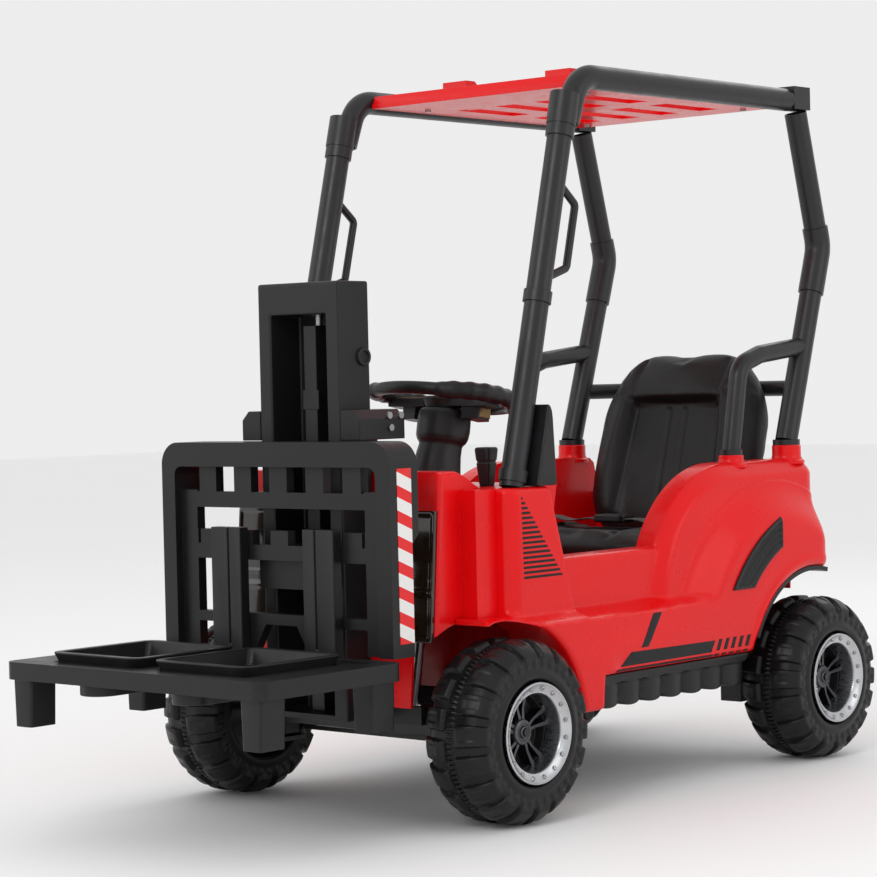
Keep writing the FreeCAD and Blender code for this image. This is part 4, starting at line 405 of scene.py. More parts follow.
class Form:
    """Points and faces gathered from several surfaces, each with a finish."""

    def __init__(self):
        self.points, self.faces, self.kinds, self.finishes, self.count = [], [], [], [], 0

    def add(self, points, faces, finish):
        """Add one surface. Faces are rows of point numbers."""
        points = np.asarray(points, float).reshape(-1, 3)
        if finish not in self.finishes:
            self.finishes.append(finish)
        kind = self.finishes.index(finish)
        for block in (faces if isinstance(faces, list) else [faces]):
            block = np.asarray(block)
            self.faces.extend((block + self.count).tolist())
            self.kinds.extend([kind] * len(block))
        self.points.append(points)
        self.count += len(points)
        return self

    def mirror(self):
        """The same form on the other side of the middle plane."""
        twin = Form()
        twin.points = [points * (-1.0, 1.0, 1.0) for points in self.points]
        twin.faces = [face[::-1] for face in self.faces]
        twin.kinds, twin.finishes, twin.count = list(self.kinds), list(self.finishes), self.count
        return twin

    def make(self, name, body, slot, replaces=(), angle=34.0, bevel=None):
        """The finished piece: a mesh with outward faces that rides on a body."""
        mesh = bpy.data.meshes.new(name)
        mesh.from_pydata(np.concatenate(self.points).tolist(), [], self.faces)
        for finish in self.finishes:
            mesh.materials.append(FINISHES[finish])
        mesh.polygons.foreach_set("material_index", self.kinds)
        return finished(name, mesh, body, replaces, angle, bevel)


def finished(name, mesh, body, replaces=(), angle=34.0, bevel=None):
    """Turn the faces outwards, shade them smooth up to an angle and hang the piece on its body."""
    work = bmesh.new()
    work.from_mesh(mesh)
    bmesh.ops.recalc_face_normals(work, faces=work.faces)
    work.to_mesh(mesh)
    work.free()
    mesh.polygons.foreach_set("use_smooth", [True] * len(mesh.polygons))
    mesh.set_sharp_from_angle(angle=math.radians(angle))
    mesh.update()
    piece = bpy.data.objects.new(name, mesh)
    bpy.context.scene.collection.objects.link(piece)
    if bevel:
        rounding = piece.modifiers.new("rounding", "BEVEL")
        rounding.width = bevel
        rounding.segments = 3
        rounding.limit_method = "ANGLE"
        rounding.angle_limit = math.radians(28.0)
        rounding.use_clamp_overlap = True
        rounding.harden_normals = True
    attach(piece, body)
    if replaces:
        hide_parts(*replaces)
    return piece


def loft_faces(rows, columns):
    """The walls of a loft whose columns go round it, and the cap at each end."""
    first = np.arange(columns)
    return [grid_faces(rows, columns, round_columns=True), [first[::-1]], [first + (rows - 1) * columns]]


def block(low, high):
    """A box between two corners, as points and faces."""
    ends = np.array([low, high])
    corners = np.array([[ends[i, 0], ends[j, 1], ends[k, 2]] for k in (0, 1) for j in (0, 1) for i in (0, 1)])
    return corners, np.array([[0, 2, 3, 1], [4, 5, 7, 6], [0, 1, 5, 4],
                              [2, 6, 7, 3], [0, 4, 6, 2], [1, 3, 7, 5]])


def prism(outline, low, high, axes=(1, 2, 0)):
    """A closed outline carried between two limits along an axis."""
    outline = np.asarray(outline, float)
    count = len(outline)
    points = np.zeros((2, count, 3))
    points[:, :, axes[0]] = outline[:, 0]
    points[:, :, axes[1]] = outline[:, 1]
    points[0, :, axes[2]], points[1, :, axes[2]] = low, high
    return points.reshape(-1, 3), loft_faces(2, count)


def revolve(profile, centre, along, across, steps=96, wrap=True):
    """A closed (along, radius) profile turned about an axis through centre.

    point = centre + a * along + r * (cos(turn) * across + sin(turn) * along x across).
    """
    profile = np.asarray(profile, float)
    along, across = np.asarray(along, float), np.asarray(across, float)
    third = np.cross(along, across)
    turn = np.linspace(0.0, 2.0 * np.pi, steps, endpoint=False)
    spun = np.cos(turn)[:, None] * across + np.sin(turn)[:, None] * third
    points = np.asarray(centre) + profile[None, :, :1] * along + profile[None, :, 1:] * spun[:, None, :]
    return points.reshape(-1, 3), grid_faces(steps, len(profile), True, wrap)


def resampled(outline, spacing):
    """A closed outline with points evenly about a spacing apart and its corners kept."""
    outline = np.asarray(outline, float)
    ahead = np.roll(outline, -1, axis=0)
    counts = np.maximum(1, np.ceil(np.linalg.norm(ahead - outline, axis=1) / spacing).astype(int))
    start = np.repeat(outline, counts, axis=0)
    step = np.repeat((ahead - outline) / counts[:, None], counts, axis=0)
    number = np.arange(counts.sum()) - np.repeat(np.cumsum(counts) - counts, counts)
    return start + step * number[:, None]


def inside_distance(points, outline):
    """Distance from each point to a closed outline, positive inside it."""
    points, outline = np.asarray(points, float), np.asarray(outline, float)
    ahead = np.roll(outline, -1, axis=0)
    edge = ahead - outline
    length = np.maximum((edge ** 2).sum(1), 1e-18)
    nearest = np.full(len(points), np.inf)
    crossings = np.zeros(len(points), int)
    for start in range(0, len(outline), 64):
        a, b, e, size = (item[start:start + 64] for item in (outline, ahead, edge, length))
        gap = points[:, None] - a[None]
        share = np.clip((gap * e[None]).sum(2) / size[None], 0.0, 1.0)
        nearest = np.minimum(nearest, np.linalg.norm(gap - share[..., None] * e[None], axis=2).min(1))
        spans = (a[None, :, 1] > points[:, None, 1]) != (b[None, :, 1] > points[:, None, 1])
        rise = np.where(np.abs(e[None, :, 1]) < 1e-12, 1e-12, e[None, :, 1])
        reach = a[None, :, 0] + (points[:, None, 1] - a[None, :, 1]) * e[None, :, 0] / rise
        crossings += (spans & (points[:, None, 0] < reach)).sum(1)
    return np.where(crossings % 2 == 1, nearest, -nearest)


def smooth_step(value, low, high):
    """0 below low, 1 above high, and an even S between them."""
    share = np.clip((np.asarray(value) - low) / (high - low), 0.0, 1.0)
    return share * share * (3.0 - 2.0 * share)


def relief(outline, height, back, edge, spacing, creases=()):
    """A closed shell: a flat back, a wall along the outline, and a front raised to height(across, up).

    The front's points are rings that follow the outline's rounded edge, the creases' own points and an even
    field between them, joined by a Delaunay triangulation. Within edge of the outline the front falls by
    edge * (1 - sqrt(1 - (1 - distance / edge)^2)), a quarter circle. Returns (across, up, raised) points.
    """
    outline = resampled(outline, spacing * 1.1)
    ahead, behind = np.roll(outline, -1, axis=0), np.roll(outline, 1, axis=0)
    along = (ahead - behind) / np.maximum(np.linalg.norm(ahead - behind, axis=1, keepdims=True), 1e-12)
    inward = np.stack([-along[:, 1], along[:, 0]], 1)
    area = 0.5 * (outline[:, 0] * ahead[:, 1] - ahead[:, 0] * outline[:, 1]).sum()
    inward *= np.sign(area)
    extra = []
    for share in (0.06, 0.2, 0.42, 0.7, 1.0):
        ring = outline + inward * edge * share
        extra.append(ring[inside_distance(ring, outline) > edge * share * 0.97])
    low, high = outline.min(0), outline.max(0)
    rows = np.arange(low[1], high[1], spacing * 0.866)
    columns = np.arange(low[0], high[0], spacing)
    field = np.stack(np.meshgrid(columns, rows), -1)
    field[1::2, :, 0] += spacing / 2
    field = field.reshape(-1, 2)
    field = field[inside_distance(field, outline) > edge + spacing * 0.4]
    for crease in creases:
        crease = np.asarray(crease, float)
        extra.append(crease[inside_distance(crease, outline) > edge])
    loose = np.concatenate(extra + [field])
    ring_faces = [list(range(len(outline)))]
    flat, _, triangles, _, _, _ = delaunay_2d_cdt([Vector(p) for p in np.concatenate([outline, loose])], [],
                                                  ring_faces if area > 0 else [ring_faces[0][::-1]], 1, 1e-7)
    flat = np.array([tuple(p) for p in flat])
    distance = np.abs(inside_distance(flat, outline))
    distance[:len(outline)] = 0.0
    share = 1.0 - np.minimum(distance / edge, 1.0)
    raised = height(flat[:, 0], flat[:, 1]) - edge * (1.0 - np.sqrt(np.maximum(0.0, 1.0 - share ** 2)))
    front = np.column_stack([flat, raised])
    count = len(outline)
    wall = np.column_stack([outline, np.full(count, back)])
    start = len(front)
    number = np.arange(count)
    beside = (number + 1) % count
    walls = np.stack([number, beside, start + beside, start + number], 1)
    cap = [[start + i for i in range(count)]]
    return np.concatenate([front, wall]), [[list(t) for t in triangles], walls, cap]


def arc(centre, radius, start, end, count):
    """Points of a circle between two angles in degrees."""
    turn = np.radians(np.linspace(start, end, count))
    return np.column_stack([centre[0] + radius * np.cos(turn), centre[1] + radius * np.sin(turn)])


# ---------------------------------------------------------------- red shell

WHEELBASE = (REAR_AXLE.y - AXLE.y) / MM
AXLE_UP = AXLE.z / MM
FRONT_ARCH, REAR_ARCH = 140.0, 165.0
QUARTER = (530.0, 252.0, 192.0)
BULGE = (620.0, 163.0, 255.0)
SILL_CREASE = 258.0
DOOR_TOP = 333.0
DECK, TAIL_TOP = 430.0, 444.0
VENT_INNER, VENT_OUTER = 217.0, 258.0
VENT_START, VENT_END = 110.0, 147.0
VENT_FOOT = 262.0
# place along the shell, radius and top of each tube socket
SOCKETS = ((563.0, 18.3, 10.0), (707.0, 21.6, 20.0))
FAN_LINES = 17
DASH_PITCH = 17.5


def side_outline():
    """The shell's side view, anticlockwise, in millimetres from the front axle and the ground."""
    front_arch = arc((0.0, AXLE_UP), FRONT_ARCH, 102.4, 3.4, 40)
    leg = [(148.0, 127.0), (182.0, 127.0), (186.0, 130.0), (190.0, 172.0)]
    rear_arch = arc((WHEELBASE, AXLE_UP), REAR_ARCH, 161.6, 74.0, 44)
    tail = [(742.0, 290.0), (742.0, 418.0), (738.0, 434.0), (728.0, 442.0), (712.0, TAIL_TOP)]
    quarter = arc(QUARTER[:2], QUARTER[2], 90.0, 155.0, 40)
    pillar = [(143.2, DOOR_TOP), (117.5, 422.0), (113.5, 428.0), (108.0, DECK), (30.0, DECK), (26.0, 428.0),
              (25.0, 422.0), (25.0, 266.0), (23.0, 264.0), (-30.0, 264.0)]
    return np.concatenate([front_arch, leg, rear_arch, tail, quarter, pillar])


def side_height(sizes):
    """The outward place of the shell over (y, z) in millimetres.

    It is the largest of the door's plane, the pillar, the rear quarter, the fender's bulge and the flared
    sill, each rising over its own width from its own border, less the grooves round them.
    """
    door, pillar_out, flare = sizes.door_out / MM, sizes.pillar_out / MM, sizes.flare_out / MM

    def height(y, z):
        slant = (y - 113.5) * 0.959 + (z - 428.0) * 0.281
        pillar = door + (pillar_out - door) * smooth_step(-slant, -1.0, 8.0)
        pillar = np.where(z > SILL_CREASE - 6.0, pillar, door)
        from_quarter = QUARTER[2] - np.hypot(np.minimum(y - QUARTER[0], 0.0), np.maximum(z - QUARTER[1], 0.0))
        quarter = door + (pillar_out - door) * smooth_step(from_quarter, -1.0, 24.0)
        quarter = np.where(y > 300.0, quarter, door)
        from_bulge = BULGE[2] - np.hypot(y - BULGE[0], z - BULGE[1])
        bulge = np.where((from_bulge > -4.0) & (y > 360.0),
                         pillar_out - 1.5 * smooth_step(from_bulge, -4.0, 0.0)
                         + 3.5 * smooth_step(from_bulge, 0.0, 4.0)
                         + (flare - pillar_out - 2.0) * smooth_step(from_bulge, 6.0, 66.0), door)
        high = np.maximum(np.maximum(pillar, quarter), bulge)
        sill = high + (flare - high) * smooth_step(-z, -(SILL_CREASE + 8.0), -(SILL_CREASE - 9.0))
        # the arch's raised lip and the sill's slight tuck under the crease
        lip = np.exp(-((np.hypot(y - WHEELBASE, z - AXLE_UP) - REAR_ARCH - 12.0) / 5.0) ** 2) * 1.6
        tuck = smooth_step(-z, -214.0, -172.0) * 4.0 * smooth_step(y, 196.0, 230.0)
        round_tail = 26.0 * (1.0 - np.sqrt(np.maximum(0.0, 1.0 - smooth_step(y, 706.0, 742.0) ** 2)))
        chamfer = np.maximum(0.0, 42.0 - y) * 0.55 * smooth_step(z, 262.0, 272.0) * (y > 20.0)
        return (sill + lip - tuck - round_tail * 0.55 - chamfer) * MM
    return height


def side_creases():
    """Points along the shell's steps, so that each step stays straight."""
    found = []
    for offset in (-3.0, 0.0, 3.5, 7.0, 10.0):
        y = np.linspace(113.5, 163.0, 60)
        found.append(np.column_stack([y - offset * 0.959, 428.0 - (y - 113.5) * 3.413 - offset * 0.281]))
    for radius in (-1.0, 3.0, 9.0, 16.0, 24.0):
        found.append(arc(QUARTER[:2], QUARTER[2] - radius, 92.0, 176.0, 110))
    for radius in (-4.0, -2.0, 0.0, 2.0, 4.0):
        found.append(arc(BULGE[:2], BULGE[2] - radius, 62.0, 172.0, 180))
    for z in (SILL_CREASE + 8.0, SILL_CREASE + 4.0, SILL_CREASE, SILL_CREASE - 4.0, SILL_CREASE - 9.0):
        y = np.arange(-28.0, 560.0, 3.4)
        found.append(np.column_stack([y, np.full(len(y), z)]))
    for radius in (4.0, 8.0, 12.0, 16.0, 20.0):
        found.append(arc((WHEELBASE, AXLE_UP), REAR_ARCH + radius, 74.0, 160.0, 130))
    return found


def add_relief(form, outline, height, back, edge, spacing, finish, creases=()):
    """Add a relief to a form's left side: the outline in millimetres, the height and back in metres."""
    def in_mm(y, z):
        return height(y, z) / MM
    points, faces = relief(outline, in_mm, back / MM, edge, spacing, creases)
    return form.add(from_side(points), faces, finish)


def side_prism(outline, low, high):
    """A side-view outline in millimetres carried between two places across the truck, in metres."""
    points, faces = prism(outline, low, high)
    return np.column_stack([points[:, 0], AXLE.y + points[:, 1] * MM, points[:, 2] * MM]), faces


def from_side(points):
    """(y from the front axle, z, x) in millimetres as row points."""
    return np.column_stack([points[:, 2] * MM, AXLE.y + points[:, 0] * MM, points[:, 1] * MM])


def socket_profile(radius, top):
    """The flared socket that a tube stands in, as (height, radius) up from inside the shell."""
    turn = np.linspace(0.0, np.pi / 2, 10)
    flare = np.column_stack([-3.0 + 9.0 * (1.0 - np.cos(turn)), radius + 5.0 * (1.0 - np.sin(turn))])
    return np.concatenate([[(-8.0, 0.0), (-8.0, radius + 5.0)], flare,
                           [(top - 1.5, radius), (top, radius - 1.5), (top, 0.0)]]) * MM


class FORK_OT_body_sides(bpy.types.Operator):
    """Both sides of the red shell, with their cage sockets, stripes and dark trims"""
    bl_idname = "fork.body_sides"
    bl_label = "Body sides"

    def execute(self, context):
        sizes = context.scene.fork_body
        height = side_height(sizes)
        shell = Form()
        add_relief(shell, side_outline(), height, sizes.back, sizes.edge / MM, sizes.spacing / MM, "red",
                   creases=side_creases())
        cage_x = middle("front_post_left").x
        for y, radius, top in SOCKETS:
            shell.add(*revolve(socket_profile(radius, top), (cage_x, fore(y), TAIL_TOP * MM),
                               (0, 0, 1), (1, 0, 0), 56), "red")
        shell.make("shell_left", "truck", "red_plastic", ["body_side_left"], 40.0)
        shell.mirror().make("shell_right", "truck", "red_plastic", ["body_side_right"], 40.0)

        def proud(y, z):
            return height(y, z) + 0.0003
        marks = Form()
        for outline in stripe_outlines():
            add_relief(marks, outline, proud, sizes.flare_out - 0.045, 0.25, 6.0, "decal")
        self.trim(marks)
        marks.make("stripes_left", "truck", "black_plastic")
        marks.mirror().make("stripes_right", "truck", "black_plastic")
        vents(height)
        return {"FINISHED"}

    def trim(self, form):
        """Dark flange under the rear fender's lip, inside the arch."""
        inner = arc((WHEELBASE, AXLE_UP), REAR_ARCH - 7.0, 154.0, 76.0, 60)
        outer = arc((WHEELBASE, AXLE_UP), REAR_ARCH - 0.6, 76.0, 154.0, 60)
        form.add(*side_prism(np.concatenate([inner, outer]), 0.19, 0.2565), "black")


def stripe_outlines():
    """Generic stripes on the shell: a fan of lines on the pillar, a slash, a long bar and five dashes."""
    found = []
    for share in np.linspace(0.0, 1.0, FAN_LINES):
        z = 417.0 - 104.0 * share
        front = 47.0 + 2.5 * share
        rear = front + 4.0 + 76.0 * share
        found.append([(front, z - 1.7), (rear, z - 1.7), (rear - 1.2, z + 1.7), (front, z + 1.7)])
    found.append([(266.0, 203.0), (282.0, 203.0), (314.0, 248.0), (294.0, 248.0)])
    found.append([(222.0, 180.5), (432.0, 180.5), (440.0, 197.0), (244.0, 199.0)])
    found.append([(214.0, 174.6), (436.0, 174.6), (437.0, 177.4), (216.0, 177.4)])
    for y in 444.0 + DASH_PITCH * np.arange(5.0):
        found.append([(y, 182.0), (y + 8.5, 182.0), (y + 13.0, 198.0), (y + 4.5, 198.0)])
        found.append([(y - 1.5, 174.6), (y + 7.0, 174.6), (y + 7.7, 177.4), (y - 0.8, 177.4)])
    return [np.array(outline) for outline in found]


def vents(height):
    """The ribbed vent on each rear quarter: a dark sector about the rear axle with lengthwise louvres."""
    centre = (WHEELBASE, AXLE_UP)
    outer = arc(centre, VENT_OUTER, VENT_START, VENT_END, 40)
    top_y = outer[0][0]
    inner = arc(centre, VENT_INNER, VENT_END - 6.0, VENT_START, 36)
    inner = inner[(inner[:, 0] < top_y - 1.0) & (inner[:, 1] > VENT_FOOT)]
    outer = outer[outer[:, 1] > VENT_FOOT]
    outline = np.concatenate([outer, inner, [(top_y, inner[-1][1])]])

    def louvred(y, z):
        radius = np.hypot(y - centre[0], z - centre[1])
        share = (radius - VENT_INNER) / (VENT_OUTER - VENT_INNER)
        ribs = 0.5 + 0.5 * np.cos(share * 2.0 * np.pi * 5.0)
        border = np.minimum(np.minimum(share, 1.0 - share), np.minimum(top_y - y, z - VENT_FOOT - 2.0) / 40.0)
        return height(y, z) + (3.4 - 2.9 * ribs ** 0.7 * smooth_step(border, 0.06, 0.14)) * MM
    vent = Form()
    add_relief(vent, outline, louvred, 0.232, 1.6, 2.4, "black",
               creases=[arc(centre, radius, VENT_START, VENT_END, 110)
                        for radius in np.linspace(VENT_INNER + 3.0, VENT_OUTER - 3.0, 16)])
    vent.make("vent_left", "truck", "black_plastic", ["fender_vents"])
    vent.mirror().make("vent_right", "truck", "black_plastic")


# ---------------------------------------------------------------- softened copies of frame pieces

def softened(name, node, finish, width, body="truck", replaces=True, dissolve=0.6):
    """A frame piece with its flat faces made whole and its edges rounded, in place of the sharp one."""
    source = NODES[node]
    mesh = source.data.copy()
    mesh.name = name
    mesh.materials.clear()
    mesh.materials.append(FINISHES[finish])
    work = bmesh.new()
    work.from_mesh(mesh)
    bmesh.ops.remove_doubles(work, verts=work.verts, dist=0.00002)
    bmesh.ops.dissolve_limit(work, angle_limit=math.radians(dissolve), verts=work.verts, edges=work.edges,
                             use_dissolve_boundaries=False)
    clean = bpy.data.meshes.new(name)
    work.to_mesh(clean)
    work.free()
    bpy.data.meshes.remove(mesh)
    clean.materials.clear()
    clean.materials.append(FINISHES[finish])
    clean.polygons.foreach_set("material_index", [0] * len(clean.polygons))
    return finished(name, clean, body, [node] if replaces else (), 30.0, width)


def painted(node, finish):
    """A frame piece that stays, with its finish."""
    mesh = NODES[node].data
    mesh.materials.clear()
    mesh.materials.append(FINISHES[finish])


class FORK_OT_shell_parts(bpy.types.Operator):
    """Nose, seat box, rear wall, tray, roof and skirts"""
    bl_idname = "fork.shell_parts"
    bl_label = "Nose, tray and roof"

    def execute(self, context):
        softened("nose", "front_cowl", "red", 0.006)
        softened("seat_riser", "seat_box", "red", 0.004)
        softened("rear_wall", "rear_cover", "red", 0.0015)
        softened("tray", "chassis_tray", "black", 0.003)
        softened("roof", "roof_panel", "red", 0.0022)
        self.fins()
        for side, word in SIDES:
            skirt(side, word)
            lamp(side, word)
        return {"FINISHED"}


    def fins(self):
        """The dark fins behind both front posts, which widen towards the pillar that they stand on."""
        inner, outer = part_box("front_post_left")[0].x + 0.010, 0.2352
        outline = np.array([(84.0, 431.0), (125.0, 431.0), (124.4, 440.0), (119.5, 520.0), (118.0, 530.0),
                            (115.0, 536.0), (110.5, 539.0)])
        fin = Form()
        fin.add(*side_prism(outline, inner, outer), "black")
        fin.make("fin_left", "truck", "black_plastic", ["guard_panels"], 30.0, 0.005)
        fin.mirror().make("fin_right", "truck", "black_plastic", ["guard_panels"], 30.0, 0.005)


def skirt(side, word):
    """The scalloped step: a ledge above lobes that swell between narrow necks.

    out = 238 mm + 7 mm * |sin(pi * lobes)|^0.6 below the ledge, and the lower edge follows the same lobes.
    """
    low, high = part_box("side_skirts")
    start, end = (low.y - AXLE.y) / MM, (high.y - AXLE.y) / MM
    bottom, top = low.z / MM, high.z / MM
    lobes = 7.0
    y = np.linspace(start, end, 150)
    wave = np.abs(np.sin(np.pi * lobes * (y - start) / (end - start))) ** 0.5
    under = np.column_stack([y, bottom + 7.0 - 6.5 * wave])
    outline = np.concatenate([under, [(end, top), (start, top)]])

    def height(across, up):
        swell = np.abs(np.sin(np.pi * lobes * (across - start) / (end - start))) ** 0.6
        body = 238.0 + 7.0 * swell + 2.5 * (up - bottom) / (top - bottom)
        ledge = 253.0 - 4.0 * smooth_step(-up, -top + 2.0, -top + 12.0)
        return (body + (ledge - body) * smooth_step(up, top - 16.0, top - 12.0)) * MM
    form = Form()
    add_relief(form, outline, height, 0.189, 3.0, 3.6, "black",
               creases=[np.column_stack([y, np.full(len(y), top - drop)]) for drop in (16.0, 14.0, 12.0)])
    piece = form if side > 0 else form.mirror()
    piece.make(f"skirt_{word}", "truck", "black_plastic", ["side_skirts"])


def lamp(side, word):
    """The smoked lamp panel: a sloped pane with a raised rim and a level rib across it."""
    low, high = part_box("front_lamps")
    inner, outer = 0.084, high.x - 0.001
    lean = (high.y - low.y - 0.0045) / (high.z - low.z)
    outline = np.array([(inner + 0.010, low.z), (outer, low.z), (outer, high.z), (inner, high.z)]) / MM

    def height(across, up):
        rim = np.minimum(np.minimum(across - inner / MM, outer / MM - across),
                         np.minimum(up - low.z / MM, high.z / MM - up))
        pane = 1.2 + 1.6 * (1.0 - smooth_step(rim, 4.0, 7.0))
        rib = 1.8 * np.exp(-((up - 300.0) / 3.5) ** 2) + 0.8 * np.exp(-((up - 318.0) / 2.0) ** 2)
        return pane + rib
    points, faces = relief(outline, height, -1.5, 1.6, 3.2)
    front = low.y + 0.0015 + lean * (points[:, 1] * MM - low.z)
    placed = np.column_stack([points[:, 0] * MM, front - points[:, 2] * MM, points[:, 1] * MM])
    form = Form().add(placed, faces, "smoked")
    (form if side > 0 else form.mirror()).make(f"lamp_{word}", "truck", "smoked_lens", ["front_lamps"])


# ---------------------------------------------------------------- wheels

def tyre_surface(sizes, radius, width, bore):
    """(along, radius, turn) of a tyre over turn and section, both closed.

    The section is a rounded box of half width w and radius r. Lugs add their height where a square wave
    round the wheel and a band across the shoulder are both high; a fine square wave makes the seam's teeth.
    """
    half = width / 2
    shoulder = radius - sizes.lug_height
    keys = np.array([(-half + 5.0 * MM, bore), (0.0, bore), (half - 5.0 * MM, bore),
                     (half - 1.0 * MM, bore + 4.0 * MM),
                     (half - 1.2 * MM, bore + 12.0 * MM), (half - 4.0 * MM, bore + 16.0 * MM),
                     (half - 3.0 * MM, bore + 27.0 * MM), (half - 8.0 * MM, shoulder - 13.0 * MM),
                     (half - 16.0 * MM, shoulder - 5.0 * MM), (half - 28.0 * MM, shoulder - 0.8 * MM),
                     (0.0, shoulder)])
    keys = np.concatenate([keys, keys[:0:-1][1:] * (-1.0, 1.0), [keys[0]]])
    reach = np.concatenate([[0.0], np.cumsum(np.linalg.norm(np.diff(keys, axis=0), axis=1))])
    samples = np.linspace(0.0, reach[-1], 133)[:-1]
    section = np.column_stack([np.interp(samples, reach, keys[:, 0]), np.interp(samples, reach, keys[:, 1])])
    for _ in range(2):
        section = 0.5 * section + 0.25 * (np.roll(section, 1, 0) + np.roll(section, -1, 0))
    turn = np.linspace(0.0, 1.0, 756, endpoint=False)[:, None]
    along, out = section[None, :, 0], section[None, :, 1]
    off = np.abs(along)
    skew = np.where(along > 0, 0.5, 0.0)
    wave = (turn * sizes.lugs + skew + 0.10 * np.sin(off / half * 2.2)) % 1.0
    lug = smooth_step(wave, 0.02, 0.09) * (1.0 - smooth_step(wave, 0.70, 0.77))
    dimple = smooth_step(wave, 0.20, 0.27) * (1.0 - smooth_step(wave, 0.50, 0.57))
    outer_zone = smooth_step(out, bore + 25.0 * MM, bore + 31.0 * MM)
    across = smooth_step(off, 8.0 * MM, 12.0 * MM)
    recess = dimple * smooth_step(off, 20.0 * MM, 23.0 * MM) * (1.0 - smooth_step(off, 36.0 * MM, 39.0 * MM))
    tooth = ((turn * sizes.seam_teeth) % 1.0 > 0.5) * (1.0 - smooth_step(off, 4.0 * MM, 6.0 * MM))
    rise = sizes.lug_height * (lug * across * outer_zone - 0.22 * recess * across * lug)
    rise = rise + 0.0028 * tooth * outer_zone
    scallop = 0.0016 * smooth_step(np.cos(turn * sizes.lugs * 4.0 * np.pi), -0.2, 0.4) * np.exp(
        -((out - bore - 22.0 * MM) / (3.0 * MM)) ** 2) * (off > half * 0.7)
    steep = np.clip((off - (half - 20.0 * MM)) / (14.0 * MM), 0.0, 1.0)
    sideways = np.sign(along) * steep * (rise * 0.55 + scallop)
    return along + sideways, out + rise * (1.0 - 0.35 * steep), turn


def hollow_ring(points):
    """A closed (along, radius) outline from plain pairs in millimetres."""
    return np.asarray(points, float) * MM


RING_BOLT = hollow_ring([(-2.0, 0.0), (-2.0, 3.3), (0.9, 3.3), (2.0, 2.4), (2.0, 1.2), (1.2, 1.0), (1.2, 0.0)])
HUB_NUT = hollow_ring([(-4.0, 0.0), (-4.0, 2.2), (2.6, 2.2), (3.4, 1.4), (3.4, 0.0)])
TYRE_BORE = 0.0668


